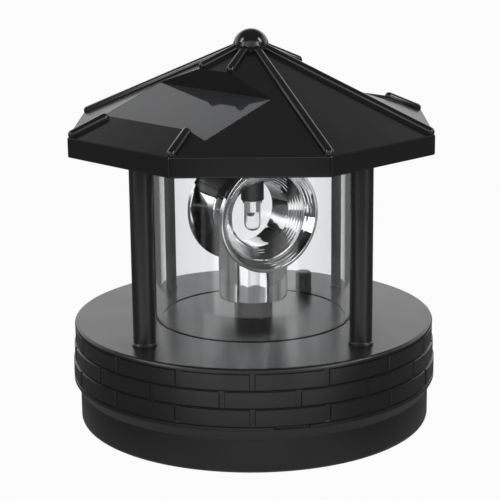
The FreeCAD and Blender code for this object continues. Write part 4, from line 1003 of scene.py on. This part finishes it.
@dataclass
class Reflector:
    """The plated hub with two opposite bells, and the throat that joins them."""

    centre: float = 62.0
    rest_angle: float = 31.0
    rim: float = 16.3
    mouth: float = 15.3
    reach: float = 10.5
    rim_back: float = 8.7
    bowl: Pair = (14.35, 8.95)
    crease: float = 13.0
    crease_reach: float = 7.2
    bead: float = 0.35
    shoulder: Pair = (11.5, 6.3)
    throat: float = 9.6
    throat_reach: float = 4.6
    barrel: float = 10.8
    root: float = 3.6
    hub: float = 10.2
    hub_wall: float = 1.2
    hub_low: float = 36.4
    hub_shelf: float = 37.4
    hub_web: float = 2.4
    hub_cover: float = 0.3
    sleeve: float = 3.2
    bore: float = 1.52
    bore_depth: float = 11.42
    lamp_hole: float = 4.4
    lamp_hole_low: float = 4.0
    ring_pitch: float = 0.62
    ring_depth: float = 0.022
    ring_points: int = 7
    ring_wall: float = 0.6
    ring_margin: float = 0.3
    ring_fade: float = 0.4
    wall_share: float = 0.9
    columns: int = 224

    def build(self) -> None:
        """Join the bells and the hub, cut the lamp's hole and install the whole."""
        piece = self.bells().as_piece("plated_reflector")
        combine(piece, self.hub_skin(), Cut.ADD)
        low = self.centre + self.lamp_hole_low
        combine(piece, plug(self.lamp_hole, low, low + self.rim, 96), Cut.TAKE)
        install(piece, Body.ROTOR, "mirror_plating", "reflector")

    def axes(self) -> np.ndarray:
        """The bells' own axes.

        Returns:
            Three rows: X upright, Y, and Z out of the front bell.
        """
        angle = math.radians(self.rest_angle)
        front = np.array([math.sin(angle), -math.cos(angle), 0.0])
        return np.array([UP, np.cross(front, UP), front])

    def bells(self) -> Skin:
        """The two bells and their throat: one closed section turned about the level axis.

        Returns:
            The skin.
        """
        half = [(self.barrel, self.root, 1.5), (self.rim, self.rim_back, 0.5),
                (self.rim, self.reach, 0.3), (self.mouth, self.reach, 0.25),
                (*self.bowl, 5.0),
                (self.crease + self.bead, self.crease_reach + self.bead, 0.12),
                (self.crease, self.crease_reach + self.bead, 0.12),
                (*self.shoulder, 3.0), (self.throat, self.throat_reach, 0.25)]
        mirror = [(across, -along, turn) for across, along, turn in reversed(half)]
        outline = self.rippled(rounded(half + mirror, 8))
        skin = carried(outline, circle(self.columns), closed=True)
        return skin.placed((0.0, 0.0, self.centre), self.axes())

    def back_radius(self, along: np.ndarray) -> np.ndarray:
        """The radius of the bells' outer face, at a distance along the level axis."""
        return np.interp(np.abs(along), [self.root, self.rim_back], [self.barrel, self.rim])

    def rippled(self, outline: np.ndarray) -> np.ndarray:
        """Add fine turned rings to the bells' inner faces.

        Each long leg inside the mouth is divided evenly, and a sine of the distance from the
        axis moves its points along the axis.

        Args:
            outline: rows of across and along.

        Returns:
            The same section with more rows.
        """
        closed = np.vstack([outline, outline[:1]])
        legs = np.linalg.norm(np.diff(closed, axis=0), axis=1)
        length = np.concatenate([[0.0], np.cumsum(legs)])
        fine = np.arange(0.0, length[-1], self.ring_pitch / self.ring_points)
        across, along = (np.interp(fine, length, part) for part in closed.T)
        fine = fine[(across > self.throat + 0.2) & (across < self.mouth)
                    & (across < self.back_radius(along) - self.ring_wall)]
        spots = distinct(length, fine)[:-1]
        across, along = (np.interp(spots, length, part) for part in closed.T)
        inner = across < self.back_radius(along) - self.ring_wall
        inside = np.minimum(across - self.throat, self.mouth - across) - self.ring_margin
        calm = np.clip(inside / self.ring_fade, 0.0, 1.0) * inner
        wave = np.sin(2 * math.pi * across / self.ring_pitch)
        return np.column_stack([across, along + self.ring_depth * calm * np.sign(along) * wave])

    def hub_skin(self) -> Skin:
        """The hub: a cup on a sleeve, whose top follows the middle of the bells' wall.

        The cup's ceiling is level, and where the bells dip below it, it stays in their wall.

        Returns:
            The skin.
        """
        low, shelf, inner = self.hub_low, self.hub_shelf, self.hub - self.hub_wall
        bore_top = low + self.bore_depth
        sleeve = rounded([(0.0, bore_top, 0.0), (self.bore, bore_top, 0.0),
                          (self.bore, low, 0.1), (self.sleeve, low, 0.1),
                          (self.sleeve, shelf, 0.0)], closed=False)
        foot = rounded([(inner, shelf, 0.0), (inner, low, 0.15), (self.hub, low, 0.35),
                        (self.hub, shelf, 0.0)], closed=False)
        level = self.centre - self.throat - self.hub_web
        ceiling = np.column_stack([np.linspace(self.sleeve, inner, 16), np.full(16, level)])
        crown = np.column_stack([np.linspace(self.hub, 0.0, 24), np.full(24, self.centre)])
        outline = np.concatenate([sleeve, ceiling, foot, crown])
        points = carried(outline, circle(self.columns)).points.reshape(len(outline), -1, 3)
        under = points[len(sleeve):len(sleeve) + len(ceiling)]
        under[..., 2] = np.minimum(level, self.wall_height(under) - self.hub_cover)
        top = points[-len(crown):]
        top[..., 2] = self.wall_height(top)
        return Skin.of_grid(points)

    def wall_height(self, points: np.ndarray) -> np.ndarray:
        """The height of the middle of the bells' wall, on their lower side, over points.

        It is the centre's height less the root of the wall's radius squared less the
        distance aside squared.

        Args:
            points: an array whose last axis is x, y and z.

        Returns:
            The heights.
        """
        front = self.axes()[2]
        along = points[..., 0] * front[0] + points[..., 1] * front[1]
        aside = points[..., 0] * front[1] - points[..., 1] * front[0]
        slope = (self.rim - self.barrel) / (self.rim_back - self.root)
        wall = (self.throat + self.barrel) / 2 + self.wall_share * slope * np.maximum(
            np.abs(along) - self.root, 0.0)
        wall = np.minimum(wall, (self.rim + self.mouth) / 2)
        return self.centre - np.sqrt(np.maximum(wall ** 2 - aside ** 2, 0.0))


# ---- roof


@dataclass
class Roof:
    """The ribbed octagonal roof with its panel seats, the panels and the ball."""

    corner: float = 55.6
    eave: float = 82.6
    fascia: float = 5.6
    slope: float = 0.43
    wall: float = 2.0
    edge: float = 0.45
    corner_round: float = 0.9
    rib: float = 1.3
    rib_lift: float = 0.2
    rib_inset: float = 1.6
    rib_start: float = 4.2
    crossed_ridges: tuple[int, ...] = (0, 1, 4, 5)
    panel_inner: float = 14.8
    panel_outer: float = 40.0
    panel_half: float = 23.1
    panel_thickness: float = 1.5
    panel_fit: float = 0.1
    panel_turn: float = 0.4
    panel_ease: float = 0.15
    past_middle: float = 50.0
    sky: float = 30.0
    tray_wall: float = 1.2
    ball: float = 5.2
    ball_sink: float = 1.4
    stem: float = 1.8
    stem_length: float = 9.0

    def build(self) -> None:
        """Make and install the roof, its panels and its ball."""
        piece = self.outer().as_piece("ribbed_roof")
        combine(piece, self.ribs(), Cut.ADD)
        cavity = self.cavity().as_piece("cavity")
        for degrees in PANEL_TURNS.values():
            combine(piece, self.seat(0.0).turned(degrees), Cut.TAKE)
            combine(cavity, self.seat(self.tray_wall).turned(degrees), Cut.TAKE)
        combine(piece, cavity, Cut.TAKE)
        install(piece, Body.HOUSING, "black_body", "roof_shell", finish=ROOF_BLACK)
        for node, degrees in PANEL_TURNS.items():
            install(self.panel().turned(degrees).as_piece("glazed_" + node),
                    Body.HOUSING, "solar_cell", node)
        self.finial()

    @property
    def apex(self) -> float:
        """The height where the ridges would meet."""
        return self.eave + self.fascia + self.slope * self.corner

    @property
    def facet_slope(self) -> float:
        """The faces fall by the ridges' slope over the flats' share."""
        return self.slope / FLAT_SHARE

    def octagon(self) -> np.ndarray:
        """An octagon of corner radius one, with rounded corners."""
        angle = math.pi / 8 + math.pi / 4 * np.arange(8)
        return rounded([(math.cos(a), math.sin(a), self.corner_round / self.corner)
                        for a in angle], 5)

    def outer(self) -> Skin:
        """The solid outer form: underside, fascia and pyramid, with eased edges."""
        outline = rounded([(0.0, self.eave, 0.0), (self.corner, self.eave, self.edge),
                           (self.corner, self.eave + self.fascia, self.edge),
                           (0.0, self.apex, 0.0)], closed=False)
        return carried(outline, self.octagon())

    def cavity(self) -> Skin:
        """The hollow: the outer form, offset inwards by the wall.

        Returns:
            The skin.
        """
        inner = self.corner - self.wall / FLAT_SHARE
        peak = self.apex - self.wall * math.hypot(1.0, self.facet_slope)
        low, knee = self.eave - self.wall, peak - self.slope * inner
        return carried(np.array([(0.0, low), (inner, low), (inner, knee), (0.0, peak)]),
                       self.octagon())

    def rib_point(self, out: float, degrees: float) -> np.ndarray:
        """A point of a rib's axis, at a distance out along its ridge."""
        angle = math.radians(degrees)
        return np.array([out * math.cos(angle), out * math.sin(angle),
                         self.apex + self.rib_lift - self.slope * out])

    def ribs(self) -> Skin:
        """A round-ended bar on each ridge; a ridge that a panel crosses has two.

        Returns:
            The skin of all the bars.
        """
        end = self.corner - self.rib_inset
        whole = ((self.rib_start, end),)
        parted = ((self.rib_start, self.panel_inner / FLAT_SHARE - self.rib),
                  (self.panel_outer / FLAT_SHARE + self.rib, end))
        bars = []
        for ridge in range(8):
            degrees = 22.5 + 45.0 * ridge
            bars += [capsule(self.rib_point(start, degrees), self.rib_point(stop, degrees),
                             self.rib)
                     for start, stop in (parted if ridge in self.crossed_ridges else whole)]
        return functools.reduce(Skin.plus, bars)

    def panel_top(self, out: np.ndarray) -> np.ndarray:
        """The height of a panel's top: it ends on the neighbouring faces at its sides."""
        return self.apex - self.facet_slope * math.cos(math.pi / 4) * (out + self.panel_half)

    def block(self, grown: float, low: float, high: float, turn: float, ease: float) -> Skin:
        """A plate over the panel's place along +X, sheared to the panel's slope.

        Args:
            grown: how far it stands out past the panel's own edges.
            low: its underside, relative to the panel's top.
            high: its top, relative to the panel's top.
            turn: the radius of its corners in plan.
            ease: the radius of its edges.

        Returns:
            The skin.
        """
        rows = []
        middle = (self.panel_inner + self.panel_outer) / 2
        for inset, height in rounded([(self.past_middle, low, 0.0), (0.0, low, ease),
                                      (0.0, high, ease), (self.past_middle, high, 0.0)],
                                     4, closed=False):
            long = max((self.panel_outer - self.panel_inner) / 2 + grown - inset, TINY)
            wide = max(self.panel_half + min(grown, 0.0) - inset, TINY)
            bend = min(turn, long / 2, wide / 2)
            ring = rounded([(middle + x * long, y * wide, bend) for x, y in SQUARE], 4)
            rows.append(np.column_stack([ring, self.panel_top(ring[:, 0]) + height]))
        return Skin.of_grid(np.stack(rows))

    def seat(self, wall: float) -> Skin:
        """The space from a panel's underside up to the sky, wider and deeper by a wall."""
        deep = self.panel_thickness + self.panel_fit + wall
        return self.block(wall, -deep, self.sky, 0.0, 0.0)

    def panel(self) -> Skin:
        """One panel with small chamfers, along +X."""
        return self.block(-self.panel_fit, -self.panel_thickness, 0.0, self.panel_turn,
                          self.panel_ease)

    def finial(self) -> None:
        """The ball on its stem."""
        centre = self.apex - self.ball_sink
        low = centre - self.stem_length
        rise = np.linspace(-math.acos(self.stem / self.ball), math.pi / 2, 60)
        sphere = np.stack([self.ball * np.cos(rise), centre + self.ball * np.sin(rise)], axis=-1)
        outline = np.concatenate([[(0.0, low), (self.stem, low)], sphere])
        install(carried(outline, circle(128)).as_piece("peak_ball"), Body.HOUSING,
                "black_body", "finial_ball", finish=ROOF_BLACK)


# ---- studio


@dataclass
class Studio:
    """The floor, the lights and the camera at the photograph's viewpoint."""

    camera_place: Triple = (4.483 * MM, -472.044 * MM, 170.286 * MM)
    camera_down: float = 0.2492
    camera_yaw: float = 0.0113
    camera_roll: float = -0.0099
    lens: float = 118.0
    aim: Triple = (0.0, 0.0, 0.06)
    floor_reach: float = 4.0
    white: float = 0.97
    sweep_low: float = 1.8
    sweep_high: float = 0.46
    horizon_share: float = 0.12
    horizon: Pair = (0.03, 0.15)
    ceiling: float = 0.57
    ceiling_ease: float = 0.03
    behind: Pair = (0.1, 0.4)
    before: Pair = (-0.25, -0.5)
    front: float = 0.8
    room: float = 0.13
    floor_glow: float = 0.45
    floor_dim: float = 0.12
    floor_fall: Pair = (0.01, 0.06)
    floor_pool: float = 0.6
    pool_start: Pair = (0.09, 0.13)
    pool_end: Pair = (0.21, 0.27)
    gaps: tuple[float, ...] = (-50.0, 57.0)
    gap_width: float = 0.12
    boxes: tuple[Pair, ...] = ((-29.0, 14.0), (37.0, 16.0))
    box_gain: float = 2.0
    box_ease: float = 2.0
    lights: tuple[tuple[str, Triple, Pair, float], ...] = (
        ("left_box", (-0.75, -0.55, 0.25), (0.25, 0.8), 2.0),
        ("right_box", (0.7, -0.65, 0.25), (0.25, 0.8), 2.5),
        ("left_strip", (-1.0, -0.25, 0.85), (0.3, 0.5), 3.5),
        ("right_strip", (1.0, -0.25, 0.85), (0.3, 0.5), 4.5),
        ("front_box", (0.0, -1.1, 0.9), (0.9, 0.4), 0.6))

    def build(self) -> None:
        """Make the camera, the world, the floor and the lights."""
        self.camera()
        self.world()
        self.floor()
        self.softboxes()

    def camera(self) -> None:
        """Stand the camera: yaw about the upright, then tilt, then roll about its own axis."""
        data = bpy.data.cameras.new("camera")
        data.lens = self.lens
        data.sensor_width = 36.0
        data.clip_start = 0.01
        data.clip_end = 50.0
        camera = bpy.data.objects.new("camera", data)
        turn = (Matrix.Rotation(self.camera_yaw, 4, "Z")
                @ Matrix.Rotation(math.pi / 2 - self.camera_down, 4, "X")
                @ Matrix.Rotation(self.camera_roll, 4, "Z"))
        camera.matrix_world = Matrix.Translation(self.camera_place) @ turn
        bpy.context.collection.objects.link(camera)
        bpy.context.scene.camera = camera

    def world(self) -> None:
        """A white sweep all round under a dim ceiling, with dark gaps and grey sides.

        Its brightness in reflections is a product of masks of the direction: a fall from the
        horizon to the ceiling, a dip at each side, a narrow dark gap at each given azimuth,
        and a gain over each box. The eye, also through clear plastic, meets even white.
        """
        world = bpy.data.worlds.new("room")
        world.use_nodes = True
        recipe = Recipe(world.node_tree)
        toward = recipe.node("TexCoord").outputs["Generated"]
        axes = recipe.node("SeparateXYZ", {"Vector": toward})
        up, back = axes.outputs["Z"], axes.outputs["Y"]
        azimuth = recipe.math("ARCTAN2", axes.outputs["X"], recipe.product(back, -1.0))
        behind = recipe.spread(back, 0.0, 1.0, *self.behind)
        before = self.banded(recipe, azimuth, recipe.spread(back, 0.0, 1.0, *self.before))
        below = recipe.product(
            recipe.spread(up, 1.0, 0.0, self.ceiling - self.ceiling_ease,
                          self.ceiling + self.ceiling_ease),
            recipe.spread(up, self.horizon_share, 1.0, *self.horizon))
        fade = recipe.spread(up, self.sweep_low, self.sweep_high, 0.0, self.ceiling)
        both = recipe.math("ADD", recipe.product(behind, below, fade),
                           recipe.product(before, below, self.front))
        background = world.node_tree.nodes["Background"]
        recipe.feed(background.inputs["Strength"],
                    self.shown(recipe, recipe.math("ADD", both, self.room)))
        background.inputs["Color"].default_value = WHITE
        bpy.context.scene.world = world
        bpy.context.scene.view_settings.view_transform = "Standard"

    def banded(self, recipe: Recipe, azimuth: Socket, value: Socket) -> Socket:
        """Darken a value at each gap's azimuth, and raise it over each box's.

        Args:
            recipe: the writer.
            azimuth: the direction in radians.
            value: what is darkened and raised.

        Returns:
            The value times the bands.
        """
        bands = [(centre, 0.0, 0.5 * self.gap_width, self.gap_width) for centre in self.gaps]
        bands += [(centre, self.box_gain, math.radians(half - self.box_ease),
                   math.radians(half)) for centre, half in self.boxes]
        for centre, gain, near, far in bands:
            away = recipe.math("ABSOLUTE", recipe.math("SUBTRACT", azimuth,
                                                       math.radians(centre)))
            value = recipe.product(value, recipe.spread(away, gain, 1.0, near, far))
        return value

    def shown(self, recipe: Recipe, level: Socket) -> Socket:
        """White straight ahead or through clear plastic, else a level for reflections.

        Args:
            recipe: the writer.
            level: the brightness that reflections meet.

        Returns:
            The brightness.
        """
        path = recipe.node("LightPath").outputs
        bounces = recipe.math("ADD", path["Glossy Depth"], path["Diffuse Depth"])
        bounced = recipe.math("MINIMUM", 1.0, bounces)
        strength = recipe.node("Mix", {"Factor": bounced, "A": self.white, "B": level},
                               data_type="FLOAT")
        return strength.outputs["Result"]

    def floor(self) -> None:
        """A pale floor that shows white to the eye and is dimmer in reflections.

        It glows less beside the object, and in front of it lies a brighter pool.
        """
        mesh = bpy.data.meshes.new("floor")
        mesh.from_pydata([(x * self.floor_reach, y * self.floor_reach, 0) for x, y in SQUARE],
                         [], [(0, 1, 2, 3)])
        floor = bpy.data.objects.new("floor", mesh)
        bpy.context.collection.objects.link(floor)
        material = bpy.data.materials.new("pale_floor")
        material.use_nodes = True
        nodes = material.node_tree.nodes
        nodes.remove(nodes["Principled BSDF"])
        recipe = Recipe(material.node_tree)
        place = recipe.node("TexCoord").outputs["Object"]
        axes = recipe.node("SeparateXYZ", {"Vector": place}).outputs
        aside = recipe.math("ABSOLUTE", axes["X"])
        ahead = recipe.product(axes["Y"], -1.0)
        near = recipe.spread(aside, self.floor_glow, self.floor_dim, *self.floor_fall)
        pool = recipe.product(recipe.spread(ahead, 0.0, self.floor_pool, *self.pool_start),
                              recipe.spread(ahead, 1.0, 0.0, *self.pool_end))
        azimuth = recipe.math("ARCTAN2", axes["X"], ahead)
        level = recipe.math("ADD", near, self.banded(recipe, azimuth, pool))
        glow = recipe.node("Emission", {"Color": WHITE, "Strength": self.shown(recipe, level)})
        recipe.feed(nodes["Material Output"].inputs["Surface"], glow.outputs["Emission"])
        mesh.materials.append(material)

    def softboxes(self) -> None:
        """Soft lights and high strips at both sides, and a dim one over the camera."""
        for name, place, size, power in self.lights:
            data = bpy.data.lights.new(name, "AREA")
            data.shape = "RECTANGLE"
            data.size, data.size_y = size
            data.energy = power
            light = bpy.data.objects.new(name, data)
            light.location = place
            toward = Vector(self.aim) - Vector(place)
            light.rotation_euler = toward.to_track_quat("-Z", "Y").to_euler()
            bpy.context.collection.objects.link(light)


# ---- main


def dress_cad_nodes() -> None:
    """Give every CAD node the finish of its slot."""
    slot_of = {part["node"]: part["material_slot"] for part in frame["record"]["subparts"]}
    for node, piece in frame["nodes"].items():
        dress(piece, SLOT_FINISH[slot_of[node]])


def main() -> None:
    """Build the scene in order."""
    logging.basicConfig(level=logging.INFO, format="%(name)s: %(message)s")
    Studio().build()
    dress_cad_nodes()
    for part in (BrickBand(), Button(), Lantern(), Reflector(), Roof()):
        part.build()


if __name__ == "__main__":
    main()
